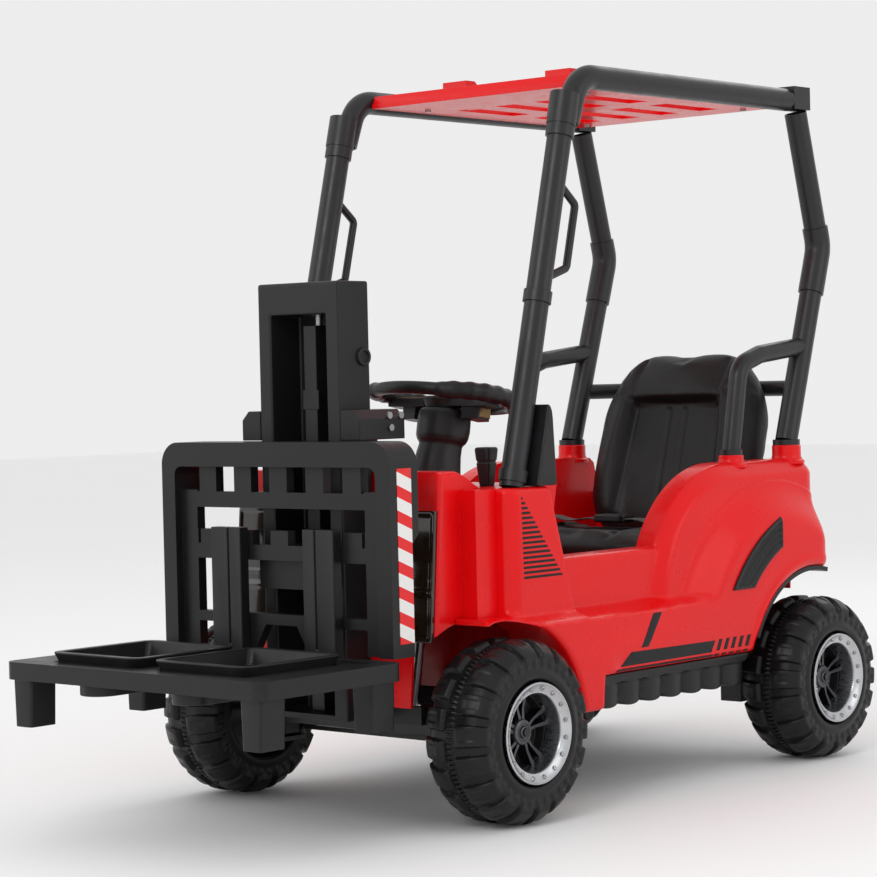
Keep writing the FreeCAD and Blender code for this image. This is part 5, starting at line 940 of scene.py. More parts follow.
class FORK_OT_wheels(bpy.types.Operator):
    """Four blow-moulded tyres on spoked rims with a bolted plated ring"""
    bl_idname = "fork.wheels"
    bl_label = "Wheels"

    def execute(self, context):
        sizes = context.scene.fork_wheel
        for end in ("front", "rear"):
            for side, word in SIDES:
                self.wheel(sizes, f"{end}_{word}", side)
        return {"FINISHED"}

    def wheel(self, sizes, name, side):
        centre = np.array(middle(f"tyre_{name}"))
        low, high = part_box(f"tyre_{name}")
        radius, width = (high.z - low.z) / 2, high.x - low.x
        along, out, turn = tyre_surface(sizes, radius, width, TYRE_BORE)
        angle = turn * 2.0 * np.pi
        points = np.stack([centre[0] + side * along, centre[1] + out * np.cos(angle),
                           centre[2] + out * np.sin(angle)], -1)
        faces = grid_faces(points.shape[0], points.shape[1], True, True)
        body = f"wheel_{name}"
        Form().add(points, faces, "tyre").make(f"tread_{name}", body, "tyre_plastic", [f"tyre_{name}"], 50.0)
        axis = (side, 0.0, 0.0)
        face = width / 2 / MM
        lip = sizes.lip_radius / MM
        ring = Form()
        ring.add(*revolve(hollow_ring([
            (face - 30.0, lip - 17.0), (face - 31.0, lip - 14.5), (face - 31.0, lip - 4.0),
            (face - 6.0, lip - 1.2),
            (face - 0.2, lip), (face + 0.9, lip - 0.8), (face + 1.0, lip - 2.2), (face - 0.4, lip - 3.2),
            (face - 5.4, lip - 12.6), (face - 5.6, lip - 13.8), (face - 7.0, lip - 14.6),
            (face - 9.5, lip - 14.9),
            (face - 22.0, lip - 16.4)]), centre, axis, (0, 0, 1), 128), "silver")
        for number in range(sizes.lip_bolts):
            turn_at = 2.0 * math.pi * (number + 0.5) / sizes.lip_bolts
            seat = centre + np.array([side * (face - 2.6) * MM, math.cos(turn_at) * (lip - 7.6) * MM,
                                      math.sin(turn_at) * (lip - 7.6) * MM])
            lean = np.array([side, 0.5 * math.cos(turn_at), 0.5 * math.sin(turn_at)]) * (1.0, -1.0, -1.0)
            lean /= np.linalg.norm(lean)
            spun = np.cross(lean, (0.0, -math.sin(turn_at), math.cos(turn_at)))
            ring.add(*revolve(RING_BOLT, seat, lean, spun, 6, False), "bolt")
        ring.make(f"ring_{name}", body, "rim_silver", [f"rim_{name}"], 32.0)
        self.hub(sizes, name, body, centre, axis, face, side)

    def hub(self, sizes, name, body, centre, axis, face, side):
        """The dished hub: a dark pan, split spokes with a rib on each, and a capped middle with five nuts."""
        hub = Form()
        hub.add(*revolve(hollow_ring([(face - 68.0, 6.2), (face - 68.0, 62.0), (face - 30.5, 61.0),
                                      (face - 31.5, 48.0), (face - 44.0, 45.0), (face - 46.0, 20.0),
                                      (face - 44.0, 6.2)]), centre, axis, (0, 0, 1), 96), "hub_black")
        hub.add(*revolve(hollow_ring([(face - 46.0, 0.0), (face - 46.0, 19.0), (face - 31.0, 18.0),
                                      (face - 26.5, 16.0), (face - 25.5, 11.5), (face - 27.0, 10.5),
                                      (face - 27.0, 8.5), (face - 24.0, 7.5), (face - 22.5, 5.0),
                                      (face - 22.0, 0.0)]), centre, axis, (0, 0, 1), 48, False), "dark_chrome")
        shape = np.array([(12.0, -3.4), (30.0, -2.6), (51.5, -4.2), (51.5, 4.2), (30.0, 2.6), (12.0, 3.4)])
        for number in range(sizes.spokes):
            for lean in (-1.0, 1.0):
                turn = 2.0 * math.pi * (number + 0.25) / sizes.spokes + lean * 0.155
                points, faces = prism(shape, 0.0, 1.0, (0, 1, 2))
                reach, width, top = points.T
                dish = 4.0 * np.sin(np.clip((reach - 12.0) / 40.0, 0, 1) * np.pi / 2)
                depth = np.where(top > 0.5, face - 28.0 - dish + 3.5 * (reach > 50.0), face - 44.5)
                width = width * np.where(top > 0.5, 0.72, 1.15) + lean * reach * 0.03
                hub.add(np.column_stack([
                    centre[0] + side * depth * MM,
                    centre[1] + (reach * math.cos(turn) - width * math.sin(turn)) * MM,
                    centre[2] + (reach * math.sin(turn) + width * math.cos(turn)) * MM]),
                    faces, "dark_chrome")
            turn = 2.0 * math.pi * (number + 0.75) / sizes.spokes
            seat = centre + np.array([side * (face - 29.5) * MM, math.cos(turn) * 13.6 * MM,
                                      math.sin(turn) * 13.6 * MM])
            hub.add(*revolve(HUB_NUT, seat, axis, (0, 0, 1), 6, False), "bolt")
        hub.make(f"hub_{name}", body, "rim_silver", [f"rim_{name}"], 30.0, 0.0007)


# ---------------------------------------------------------------- seat

def pillow(centre, across, up, out, half_width, half_height, depth_front, depth_back, columns=72, rows=72):
    """A closed cushion: front and back sheets over a rounded outline.

    A unit disc point (r, turn) goes to the outline by x = half_width * X(turn) * r and likewise up, where the
    outline is a squircle. Each sheet stands off by depth * (1 - r^5)^0.5.
    """
    turn = np.linspace(0.0, 2.0 * np.pi, columns * 2, endpoint=False)[:, None]
    r = np.sin(np.linspace(0.0, np.pi / 2, rows // 2))[None, 1:]
    cosine, sine = np.cos(turn), np.sin(turn)
    squircle = (np.abs(cosine) ** 4.5 + np.abs(sine) ** 4.5) ** (-1.0 / 4.5)
    x, y = squircle * cosine * r, squircle * sine * r
    stand = np.sqrt(np.maximum(0.0, 1.0 - r ** 5.0)) + 0.0 * turn
    sheets = []
    for depth in (depth_front, -depth_back):
        wide = half_width(y) if callable(half_width) else half_width
        forward = depth(x, y) if callable(depth) else depth
        sheets.append(np.asarray(centre) + (x * wide)[..., None] * np.asarray(across)
                      + (y * half_height)[..., None] * np.asarray(up)
                      + (stand * forward)[..., None] * np.asarray(out))
    front, back = sheets
    back = back[:, :-1]
    points, faces, start = [], [], 0
    for sheet in (front, back):
        count = sheet.shape[1]
        points.append(sheet.reshape(-1, 3))
        faces.append(grid_faces(sheet.shape[0], count, True) + start)
        start += sheet.size // 3
    inner_front = np.arange(front.shape[0]) * front.shape[1]
    offset = front.shape[0] * front.shape[1]
    inner_back = offset + np.arange(back.shape[0]) * back.shape[1]
    rim_front = inner_front + front.shape[1] - 1
    rim_back = inner_back + back.shape[1] - 1
    join = np.stack([rim_front, np.roll(rim_front, -1), np.roll(rim_back, -1), rim_back], 1)
    return np.concatenate(points), [*faces, join, [inner_front.tolist()[::-1]], [inner_back.tolist()]]


def stuffed(name, points, faces, seams, sizes, body, nodes, pressure=4.0):
    """Padded leatherette: remesh, swell under cloth pressure, cap that, subdivide and press the seams in.

    seams(points) gives each point's distance to the nearest seam in metres and the way that it sinks.
    """
    form = Form().add(points, faces, "leather")
    mesh = bpy.data.meshes.new(name)
    mesh.from_pydata(np.concatenate(form.points).tolist(), [], form.faces)
    mesh.materials.append(FINISHES["leather"])
    work = bmesh.new()
    work.from_mesh(mesh)
    bmesh.ops.recalc_face_normals(work, faces=work.faces)
    work.to_mesh(mesh)
    work.free()
    piece = bpy.data.objects.new(name, mesh)
    scene = bpy.context.scene
    scene.collection.objects.link(piece)
    for other in bpy.context.selected_objects:
        other.select_set(False)
    bpy.context.view_layer.objects.active = piece
    piece.select_set(True)
    remesh = piece.modifiers.new("remesh", "REMESH")
    remesh.mode = "VOXEL"
    remesh.voxel_size = sizes.voxel
    bpy.ops.object.modifier_apply(modifier=remesh.name)
    rest = coordinates(piece.data)
    swell = piece.modifiers.new("stuffing", "CLOTH")
    settings = swell.settings
    settings.use_pressure = True
    settings.uniform_pressure_force = pressure
    settings.effector_weights.gravity = 0.0
    settings.quality = 5
    for frame_number in range(1, 21):
        scene.frame_set(frame_number)
    bpy.ops.object.modifier_apply(modifier=swell.name)
    scene.frame_set(1)
    moved = coordinates(piece.data) - rest
    length = np.linalg.norm(moved, axis=1, keepdims=True)
    moved *= np.minimum(1.0, sizes.swell_cap / np.maximum(length, 1e-9))
    piece.data.vertices.foreach_set("co", (rest + moved).astype(np.float32).ravel())
    finer = piece.modifiers.new("finer", "SUBSURF")
    finer.levels = finer.render_levels = 1
    bpy.ops.object.modifier_apply(modifier=finer.name)
    place = coordinates(piece.data)
    distance, sink = seams(place)
    dip = sizes.seam_depth * np.exp(-(distance / sizes.seam_width) ** 2)
    place += dip[:, None] * sink
    piece.data.vertices.foreach_set("co", place.astype(np.float32).ravel())
    piece.data.polygons.foreach_set("use_smooth", [True] * len(piece.data.polygons))
    piece.data.update()
    piece.select_set(False)
    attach(piece, body)
    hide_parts(*nodes)
    return piece


def coordinates(mesh):
    """A mesh's points as an array."""
    flat = np.zeros(len(mesh.vertices) * 3, np.float32)
    mesh.vertices.foreach_get("co", flat)
    return flat.reshape(-1, 3).astype(float)


def segment_distance(points, start, end):
    """Distance of 2-D points from a straight seam between two ends."""
    start, end = np.asarray(start, float), np.asarray(end, float)
    along = end - start
    share = np.clip(((points - start) @ along) / (along @ along), 0.0, 1.0)
    return np.linalg.norm(points - start - share[:, None] * along, axis=1)


BACK_LEAN = math.radians(16.0)
BACK_UP = np.array([0.0, math.sin(BACK_LEAN), math.cos(BACK_LEAN)])
BACK_OUT = np.array([0.0, -math.cos(BACK_LEAN), math.sin(BACK_LEAN)])
ACROSS = np.array([1.0, 0.0, 0.0])


class FORK_OT_seat(bpy.types.Operator):
    """The padded bucket seat, its belt and buckle"""
    bl_idname = "fork.seat"
    bl_label = "Seat"

    def execute(self, context):
        sizes = context.scene.fork_seat
        self.backrest(sizes)
        self.cushion(sizes)
        belts()
        return {"FINISHED"}

    def backrest(self, sizes):
        """Bolsters stand forward of a sunk middle; the head pad above it is level with them."""
        foot = np.array([0.0, fore(622.0), 0.318])
        tall, thick = 0.322, 0.104
        centre = foot + BACK_UP * tall / 2 - BACK_OUT * thick / 2

        def half_width(v):
            waist = 0.145 + 0.006 * np.cos((v + 0.25) * 1.6)
            return waist - 0.022 * smooth_step(v, 0.25, 1.05) - 0.004 * smooth_step(-v, 0.5, 1.0)

        def front(u, v):
            bolster = smooth_step(np.abs(u), 0.50, 0.74)
            head = smooth_step(v, 0.42, 0.56)
            return thick / 2 - 0.006 - 0.036 * (1.0 - np.maximum(bolster, 0.8 * head))
        points, faces = pillow(centre, ACROSS, BACK_UP, BACK_OUT, half_width, tall / 2 - 0.006, front,
                               thick / 2 - 0.007, 90, 84)

        def seams(place):
            local = place - centre
            flat = np.column_stack([local @ ACROSS, local @ BACK_UP])
            stands = local @ BACK_OUT
            side = np.abs(flat)
            side[:, 1] = flat[:, 1]
            lines = [segment_distance(side, (0.082, 0.072), (0.078, 0.138)),
                     segment_distance(side, (0.017, -0.150), (0.015, 0.058)),
                     segment_distance(side, (0.0, 0.066), (0.078, 0.070)),
                     segment_distance(side, (0.078, 0.070), (0.092, -0.150))]
            nearest = np.minimum.reduce(lines)
            nearest = np.where(stands > 0.0, nearest, 1.0)
            return nearest, -BACK_OUT
        stuffed("backrest", points, faces, seams, sizes, "truck", ["seat_back"])

    def cushion(self, sizes):
        """The seat pad: raised at its sides and front, sunk where the child sits."""
        low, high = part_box("seat_base")
        centre = np.array(low + high) / 2
        half_deep, half_tall = (high.y - low.y) / 2, (high.z - low.z) / 2

        def top(u, v):
            dish = (1.0 - smooth_step(np.abs(u), 0.45, 0.8)) * (1.0 - smooth_step(-v, 0.45, 0.85))
            return half_tall - 0.005 - 0.012 * dish
        points, faces = pillow(centre, ACROSS, np.array([0.0, 1.0, 0.0]), np.array([0.0, 0.0, 1.0]),
                               high.x - 0.006, half_deep - 0.006, top, half_tall - 0.004, 84, 70)

        def seams(place):
            flat = (place - centre)[:, :2].copy()
            flat[:, 0] = np.abs(flat[:, 0])
            lines = [segment_distance(flat, (0.086, -0.075), (0.092, 0.11)),
                     segment_distance(flat, (0.0, -0.078), (0.086, -0.075)),
                     segment_distance(flat, (0.030, -0.075), (0.026, 0.11))]
            nearest = np.where(place[:, 2] > centre[2], np.minimum.reduce(lines), 1.0)
            return nearest, np.array([0.0, 0.0, -1.0])
        stuffed("seat_pad", points, faces, seams, sizes, "truck", ["seat_base"])


def strap(form, path, width, thickness, across):
    """A flat strap with rounded edges carried along a path: a superellipse section, wide across and thin."""
    path = np.asarray(path, float)
    along = np.gradient(path, axis=0)
    along /= np.linalg.norm(along, axis=1, keepdims=True)
    across = np.broadcast_to(np.asarray(across, float), path.shape)
    thin = np.cross(along, across)
    thin /= np.linalg.norm(thin, axis=1, keepdims=True)
    turn = np.linspace(0.0, 2.0 * np.pi, 20, endpoint=False)
    wide = np.sign(np.cos(turn)) * np.abs(np.cos(turn)) ** 0.35 * width / 2
    deep = np.sign(np.sin(turn)) * np.abs(np.sin(turn)) ** 0.6 * thickness / 2
    points = path[:, None] + wide[None, :, None] * across[:, None] + deep[None, :, None] * thin[:, None]
    form.add(points, loft_faces(*points.shape[:2]), "webbing")


def smooth_path(keys, count):
    """A smooth curve near a few points: four rounds of corner cutting, then an even resampling."""
    keys = np.asarray(keys, float)
    for _ in range(4):
        first = keys[:-1] * 0.75 + keys[1:] * 0.25
        second = keys[:-1] * 0.25 + keys[1:] * 0.75
        middle_points = np.stack([first, second], 1).reshape(-1, keys.shape[1])
        keys = np.concatenate([keys[:1], middle_points, keys[-1:]])
    reach = np.concatenate([[0.0], np.cumsum(np.linalg.norm(np.diff(keys, axis=0), axis=1))])
    even = np.linspace(0.0, reach[-1], count)
    return np.column_stack([np.interp(even, reach, keys[:, axis]) for axis in range(keys.shape[1])])


def belts():
    """Both belt halves with slack waves, and the buckle lying between them."""
    low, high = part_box("lap_belt")
    start, top = (low.y + high.y) / 2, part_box("seat_base")[1].z
    straps = Form()
    for side, _ in SIDES:
        keys = [(side * 0.1535, start + 0.012, 0.300), (side * 0.1535, start + 0.010, 0.332),
                (side * 0.150, start + 0.006, 0.357), (side * 0.118, start + 0.004, top + 0.010),
                (side * 0.078, start - 0.004, top + 0.001), (side * 0.046, start + 0.002, top + 0.007),
                (side * 0.026, start, top + 0.006)]
        strap(straps, smooth_path(keys, 70), 0.026, 0.0022, (0.0, 1.0, 0.0))
    straps.make("belt_straps", "truck", "belt_webbing", ["lap_belt"])
    buckle = Form()
    centre = np.array([0.0, start, top + 0.007])
    for half_x, half_y, lift in ((0.024, 0.017, 0.0), (0.030, 0.0125, -0.001)):
        shape = np.array([(-half_x, -half_y), (half_x, -half_y), (half_x, half_y), (-half_x, half_y)])
        points, faces = prism(shape, centre[2] - 0.005 + lift, centre[2] + 0.006 + lift, (0, 1, 2))
        points[:, 1] += centre[1]
        buckle.add(points, faces, "grip")
    buckle.make("buckle", "truck", "grip_plastic", ["belt_buckle"], 30.0, 0.0028)


# ---------------------------------------------------------------- steering

TURN = [joint for joint in frame["joints"] if joint["name"] == "steering_turn"][0]
COLUMN = np.array(TURN["axis"], float)
WHEEL_CENTRE = np.array(TURN["pos_m"], float) + COLUMN * 0.102
WHEEL_BACK = np.cross(ACROSS, COLUMN) * -1.0


def on_column(across, back, up):
    """A place in the steering wheel's own frame, as a row point."""
    return (WHEEL_CENTRE + np.multiply.outer(np.asarray(across, float), ACROSS)
            + np.multiply.outer(np.asarray(back, float), -WHEEL_BACK)
            + np.multiply.outer(np.asarray(up, float), COLUMN))


class FORK_OT_steering(bpy.types.Operator):
    """Column cover, thick-gripped steering wheel, its side switches and horn pad"""
    bl_idname = "fork.steering"
    bl_label = "Steering"

    def execute(self, context):
        self.cover()
        self.rim()
        self.horn()
        painted("steering_shaft", "steel")
        for node in ("tie_rod", "knuckle_left", "knuckle_right", "front_axle_beam"):
            painted(node, "tube")
        return {"FINISHED"}

    def cover(self):
        """An oval column under a round cup that holds the hub.

        Each row is a height, the oval's half width and half depth there, and its shift; rows between are even.
        """
        profile = np.array([(-119.0, 33.5, 38.0, 1.0), (-116.0, 34.0, 38.5, 1.0), (-100.0, 31.5, 36.0, 1.0),
                            (-80.0, 29.5, 33.5, 0.0), (-66.0, 28.5, 32.0, -2.5), (-63.0, 30.0, 33.5, -3.0),
                            (-60.0, 33.0, 36.0, -3.5), (-54.0, 35.6, 38.0, -4.0), (-44.0, 36.5, 38.6, -5.0),
                            (-28.0, 36.3, 38.2, -5.0), (-20.0, 35.0, 37.0, -5.0), (-17.0, 33.0, 35.0, -5.0),
                            (-16.5, 31.8, 33.6, -5.0), (-18.0, 30.9, 32.5, -5.0), (-36.4, 30.9, 32.5, -5.0)]) * MM
        rows = np.linspace(0.0, len(profile) - 1.0, 60)
        high, wide, deep, shift = [np.interp(rows, np.arange(len(profile)), column)[:, None]
                                   for column in profile.T]
        turn = np.linspace(0.0, 2.0 * np.pi, 64, endpoint=False)[None, :]
        points = on_column(wide * np.cos(turn), deep * np.sin(turn) + shift, high + 0.0 * turn)
        flat = points[..., 2] < 0.4302
        points[..., 2] = np.where(flat, 0.4302, points[..., 2])
        Form().add(points, loft_faces(*points.shape[:2]), "grip").make(
            "column_shroud", "truck", "black_plastic", ["column_cover"], 40.0)

    def rim(self):
        """The rim's section swells where hands hold it, with a finger wave along the swelling."""
        wheel = Form()
        count, steps, main = 220, 26, 0.0945
        turn = np.linspace(0.0, 2.0 * np.pi, count, endpoint=False)[:, None]
        section = np.linspace(0.0, 2.0 * np.pi, steps, endpoint=False)[None, :]
        side = np.abs(np.cos(turn))
        grip = smooth_step(side, 0.55, 0.66)
        thick = 0.0088 + 0.0030 * grip + 0.0007 * grip * np.cos(turn * 26.0)
        reach = main + thick * np.cos(section) + 0.0015 * grip
        lift = thick * 1.02 * np.sin(section) + 0.004 * grip * np.cos(2.0 * turn)
        points = on_column(reach * np.cos(turn), reach * np.sin(turn), lift)
        wheel.add(points, grid_faces(count, steps, True, True), "grip")
        for side, _ in SIDES:
            outline = np.array([(side * 20.0, -17.0), (side * 60.0, -11.0), (side * 91.0, -13.0),
                                (side * 91.0, 15.0), (side * 60.0, 9.0), (side * 20.0, 16.0)]) * MM
            self.plate(wheel, outline, -0.013, -0.001, "grip")
            trim = np.array([(side * 34.0, -6.5), (side * 60.0, -5.5), (side * 84.0, -7.0),
                             (side * 84.0, 8.5), (side * 60.0, 5.0), (side * 34.0, 7.5)]) * MM
            self.plate(wheel, trim, -0.004, 0.0012, "bronze")
            pod = np.array([(side * 43.0, -27.0), (side * 66.0, -24.0), (side * 72.0, -12.0),
                            (side * 70.0, 6.0), (side * 43.0, 10.0)]) * MM
            self.plate(wheel, pod, -0.030, -0.011, "grip")
            cap = np.array([(side * 69.5, -19.0), (side * 73.5, -17.0), (side * 73.5, 1.0),
                            (side * 69.5, 3.0)]) * MM
            self.plate(wheel, cap, -0.027, -0.014, "bronze")
        lower = np.array([(-14.0, -18.0), (14.0, -18.0), (10.0, -88.0), (-10.0, -88.0)]) * MM
        self.plate(wheel, lower, -0.012, -0.002, "grip")
        boss = hollow_ring([(-36.0, 0.0), (-36.0, 16.0), (-33.0, 19.0), (-16.0, 23.5), (-4.0, 29.0),
                            (-0.5, 28.5), (0.0, 18.0), (-1.0, 17.4), (-15.0, 17.2), (-15.0, 0.0)])
        wheel.add(*revolve(boss, WHEEL_CENTRE, COLUMN, ACROSS, 64, False), "grip")
        wheel.make("hand_wheel", "steering", "grip_plastic", ["steering_wheel"], 34.0, 0.0011)

    def plate(self, form, outline, low, high, finish):
        """A flat piece of the wheel between two heights on the column."""
        count = len(outline)
        points = np.concatenate([on_column(outline[:, 0], outline[:, 1], np.full(count, level))
                                 for level in (low, high)])
        form.add(points, loft_faces(2, count), finish)

    def horn(self):
        """The domed horn pad with a ring round a plain disc."""
        pad = Form()
        pad.add(*revolve(hollow_ring([(-11.0, 0.0), (-11.0, 16.6), (0.6, 16.6), (2.2, 15.2), (2.6, 13.4),
                                      (1.9, 12.6), (2.6, 11.8), (3.4, 6.0), (3.6, 0.0)]),
                         WHEEL_CENTRE, COLUMN, ACROSS, 56, False), "grip")
        pad.make("horn_pad", "horn", "grip_plastic", ["horn_button"], 28.0)


# ---------------------------------------------------------------- mast and load

MAST_BOSS = hollow_ring([(0.0, 0.0), (0.0, 12.5), (4.6, 12.0), (5.4, 10.6), (5.4, 7.5), (2.4, 7.0), (2.4, 0.0)])


class FORK_OT_mast(bpy.types.Operator):
    """Mast, carriage with its hazard strips, forks, screw and lift motor"""
    bl_idname = "fork.mast"
    bl_label = "Mast and carriage"

    def execute(self, context):
        softened("mast_channel", "mast_frame", "black", 0.0032)
        softened("mast_clamp", "mast_bracket", "black", 0.0022)
        low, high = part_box("mast_guide")
        Form().add(*block(low, (high.x, high.y, high.z - 0.014)), "black").make(
            "mast_strip", "truck", "black_plastic", ["mast_guide"], 30.0, 0.0012)
        softened("backrest_frame", "carriage_frame", "black", 0.0034, "carriage")
        softened("tine_left", "fork_left", "black", 0.0028, "carriage")
        softened("tine_right", "fork_right", "black", 0.0028, "carriage")
        painted("lift_screw", "steel")
        painted("lift_motor", "electrics")
        painted("bolts", "bolt")
        self.hazard_strips()
        self.mast_details()
        return {"FINISHED"}

    def hazard_strips(self):
        """The striped label on each side wall of the carriage."""
        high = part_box("carriage_frame")[1]
        labels = Form()
        for side, _ in SIDES:
            near, far = sorted((side * (high.x - 0.0005), side * (high.x + 0.0007)))
            labels.add(*block((near, fore(-161.0), 0.244), (far, fore(-134.8), 0.464)), "hazard")
        labels.make("hazard_labels", "carriage", "black_plastic", (), 30.0)

    def mast_details(self):
        """The boss on each side of the mast and the clip on its middle strip."""
        mast_low, mast_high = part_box("mast_frame")
        details = Form()
        for side, _ in SIDES:
            seat = (side * (mast_high.x - 0.001), (mast_low.y + mast_high.y) / 2 + 0.016, 0.606)
            details.add(*revolve(MAST_BOSS, seat, (side, 0, 0), (0, 0, 1), 36, False), "black")
        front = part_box("mast_guide")[0].y
        details.add(*block((-0.0145, front - 0.0004, 0.538), (0.0145, front + 0.006, 0.564)), "black")
        details.make("mast_bosses", "truck", "black_plastic", (), 30.0, 0.0012)


class FORK_OT_load(bpy.types.Operator):
    """Pallet and the two open bins on it"""
    bl_idname = "fork.load"
    bl_label = "Pallet and bins"

    def execute(self, context):
        softened("pallet_deck", "pallet", "pallet", 0.0026, "pallet")
        for side, word in SIDES:
            crate = softened(f"crate_{word}", f"bin_{word}", "pallet", 0.0022, f"bin_{word}")
            self.flare(crate.data, f"bin_{word}")
        return {"FINISHED"}

    def flare(self, mesh, node):
        """Walls that open outwards: a rim's point moves off the middle by 9 % across and 13 % along."""
        low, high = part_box(node)
        points = coordinates(mesh)
        share = smooth_step(points[:, 2], high.z - 0.016, high.z - 0.006)
        for axis, stretch, move in ((0, 0.09, 0.0), (1, 0.13, 0.003)):
            centre = (low[axis] + high[axis]) / 2
            points[:, axis] += share * (stretch * (points[:, axis] - centre) + move)
        mesh.vertices.foreach_set("co", points.ravel())
        mesh.update()


# ---------------------------------------------------------------- controls, cage and works

class FORK_OT_controls(bpy.types.Operator):
    """Levers with squared grips, the pedal and its stand"""
    bl_idname = "fork.controls"
    bl_label = "Levers and pedal"

    def execute(self, context):
        for node, body in (("shift_lever", "shift_lever"), ("lift_lever", "lift_lever")):
            self.lever(node, body)
        softened("tread_plate", "foot_pedal", "grip", 0.0014, "pedal")
        painted("pedal_stand", "black")
        return {"FINISHED"}

    def lever(self, node, body):
        """A squared grip that widens to a flat cap: half width(h) over a section |x|^5 + |y|^5 = 1."""
        low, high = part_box(node)
        centre = (low + high) / 2
        tall = (high.z - low.z) / MM
        heights = np.concatenate([[0.0, 36.0, 37.0, 40.0],
                                  tall - np.array([22.0, 20.5, 18.5, 17.0, 4.0, 1.4, 0.3, 0.0])])
        half = np.array([5.0, 5.0, 7.6, 8.4, 11.0, 10.2, 10.2, 11.3, 12.6, 12.2, 11.2, 9.6])[:, None]
        turn = np.linspace(0.0, 2.0 * np.pi, 48, endpoint=False)[None, :]
        reach = half * (np.abs(np.cos(turn)) ** 5 + np.abs(np.sin(turn)) ** 5) ** -0.2 * MM
        points = np.stack([centre.x + reach * np.cos(turn), centre.y + reach * np.sin(turn),
                           low.z + heights[:, None] * MM + 0.0 * turn], axis=2)
        Form().add(points, loft_faces(*points.shape[:2]), "grip").make(
            f"{node}_grip", body, "grip_plastic", [node], 30.0)


class FORK_OT_cage_and_works(bpy.types.Operator):
    """Finishes of the cage and of the parts inside"""
    bl_idname = "fork.cage_and_works"
    bl_label = "Cage and works"

    def execute(self, context):
        for node in ("front_post_left", "front_post_right", "roof_rails", "rear_posts", "guard_hoops",
                     "cage_fittings", "grab_handles", "rear_brace"):
            painted(node, "tube")
        painted("rear_axle", "tube")
        painted("drive_motors", "electrics")
        painted("control_box", "electrics")
        painted("battery", "battery")
        return {"FINISHED"}


# ---------------------------------------------------------------- stage

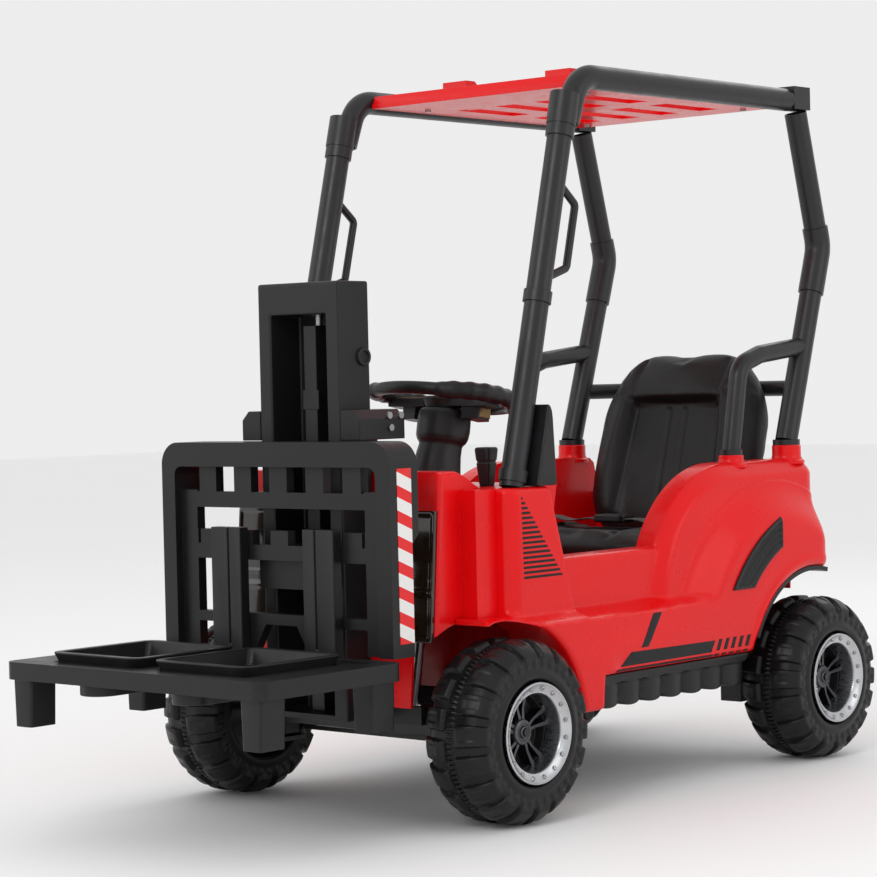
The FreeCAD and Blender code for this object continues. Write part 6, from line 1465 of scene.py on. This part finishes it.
class FORK_OT_stage(bpy.types.Operator):
    """Pale floor, soft lights and the camera"""
    bl_idname = "fork.stage"
    bl_label = "Stage"

    def execute(self, context):
        sizes = context.scene.fork_stage
        self.floor()
        self.lights(sizes)
        self.camera(sizes)
        return {"FINISHED"}

    def floor(self):
        finish = Finish("studio_floor", (0.93, 0.93, 0.93, 1.0), 0.7)
        mottled = finish.noise(1.6, 2.0)
        finish.set_colour(finish.mixed(mottled, (0.92, 0.92, 0.92, 1.0), (0.94, 0.94, 0.94, 1.0)))
        mesh = bpy.data.meshes.new("floor")
        reach = 14.0
        corners = [(x * reach, y * reach, 0.0) for x, y in ((-1, -1), (1, -1), (1, 1), (-1, 1))]
        mesh.from_pydata(corners, [], [(0, 1, 2, 3)])
        mesh.materials.append(finish.material)
        floor = bpy.data.objects.new("floor", mesh)
        bpy.context.scene.collection.objects.link(floor)

    def lights(self, sizes):
        scene = bpy.context.scene
        world = bpy.data.worlds.new("studio")
        world.use_nodes = True
        background = world.node_tree.nodes["Background"]
        background.inputs["Color"].default_value = (1.0, 1.0, 1.0, 1.0)
        background.inputs["Strength"].default_value = 0.85
        scene.world = world
        scene.view_settings.view_transform = "Standard"
        for name, place, size, power in (("key", (0.9, -3.4, 2.6), 1.6, sizes.key_power),
                                         ("fill", (-2.8, -2.4, 1.8), 2.2, sizes.fill_power),
                                         ("side", (3.2, 0.9, 1.5), 1.8, sizes.fill_power),
                                         ("rim", (-0.6, 3.2, 2.6), 1.6, sizes.fill_power)):
            light = bpy.data.lights.new(name, "AREA")
            light.energy, light.size = power, size
            lamp_object = bpy.data.objects.new(name, light)
            lamp_object.location = place
            aim = Vector((0.0, 0.0, 0.45)) - Vector(place)
            lamp_object.rotation_euler = aim.to_track_quat("-Z", "Y").to_euler()
            scene.collection.objects.link(lamp_object)

    def camera(self, sizes):
        """Columns of the camera's turn are its right, its up and its back."""
        target = Vector((0.1197, -0.0983, 0.4971))
        turn, rise, roll = sizes.azimuth, sizes.elevation, sizes.roll
        ahead = Vector((-math.sin(turn) * math.cos(rise), math.cos(turn) * math.cos(rise), -math.sin(rise)))
        level = Vector((math.cos(turn), math.sin(turn), 0.0))
        upright = level.cross(ahead)
        right = math.cos(roll) * level + math.sin(roll) * upright
        up = -math.sin(roll) * level + math.cos(roll) * upright
        data = bpy.data.cameras.new("camera")
        data.sensor_width, data.lens = 36.0, sizes.lens
        data.shift_x, data.shift_y = sizes.shift_x, sizes.shift_y
        camera = bpy.data.objects.new("camera", data)
        camera.matrix_world = (Matrix.Translation(target - ahead * sizes.distance)
                               @ Matrix((right, up, -ahead)).transposed().to_4x4())
        bpy.context.scene.collection.objects.link(camera)
        bpy.context.scene.camera = camera


# ---------------------------------------------------------------- panel and registration

STEPS = (FORK_OT_body_sides, FORK_OT_shell_parts, FORK_OT_wheels, FORK_OT_seat, FORK_OT_steering,
         FORK_OT_mast, FORK_OT_load, FORK_OT_controls, FORK_OT_cage_and_works, FORK_OT_stage)


class FORK_PT_panel(bpy.types.Panel):
    """Lists the steps that build the forklift, with their sizes"""
    bl_idname = "FORK_PT_panel"
    bl_label = "Ride-on forklift"
    bl_space_type = "VIEW_3D"
    bl_region_type = "UI"
    bl_category = "Forklift"

    def draw(self, context):
        for group, kind in GROUPS.items():
            column = self.layout.column(align=True)
            for name in kind.__annotations__:
                column.prop(getattr(context.scene, group), name)
        for step in STEPS:
            self.layout.operator(step.bl_idname)


def register():
    for group, kind in GROUPS.items():
        bpy.utils.register_class(kind)
        setattr(bpy.types.Scene, group, bpy.props.PointerProperty(type=kind))
    for item in (*STEPS, FORK_PT_panel):
        bpy.utils.register_class(item)


def unregister():
    for item in reversed((*STEPS, FORK_PT_panel)):
        bpy.utils.unregister_class(item)
    for group, kind in reversed(GROUPS.items()):
        delattr(bpy.types.Scene, group)
        bpy.utils.unregister_class(kind)


def main():
    """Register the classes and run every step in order."""
    register()
    make_finishes(bpy.context.scene.fork_colour)
    for step in STEPS:
        group, name = step.bl_idname.split(".")
        getattr(getattr(bpy.ops, group), name)()
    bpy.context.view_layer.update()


if __name__ == "__main__":
    main()
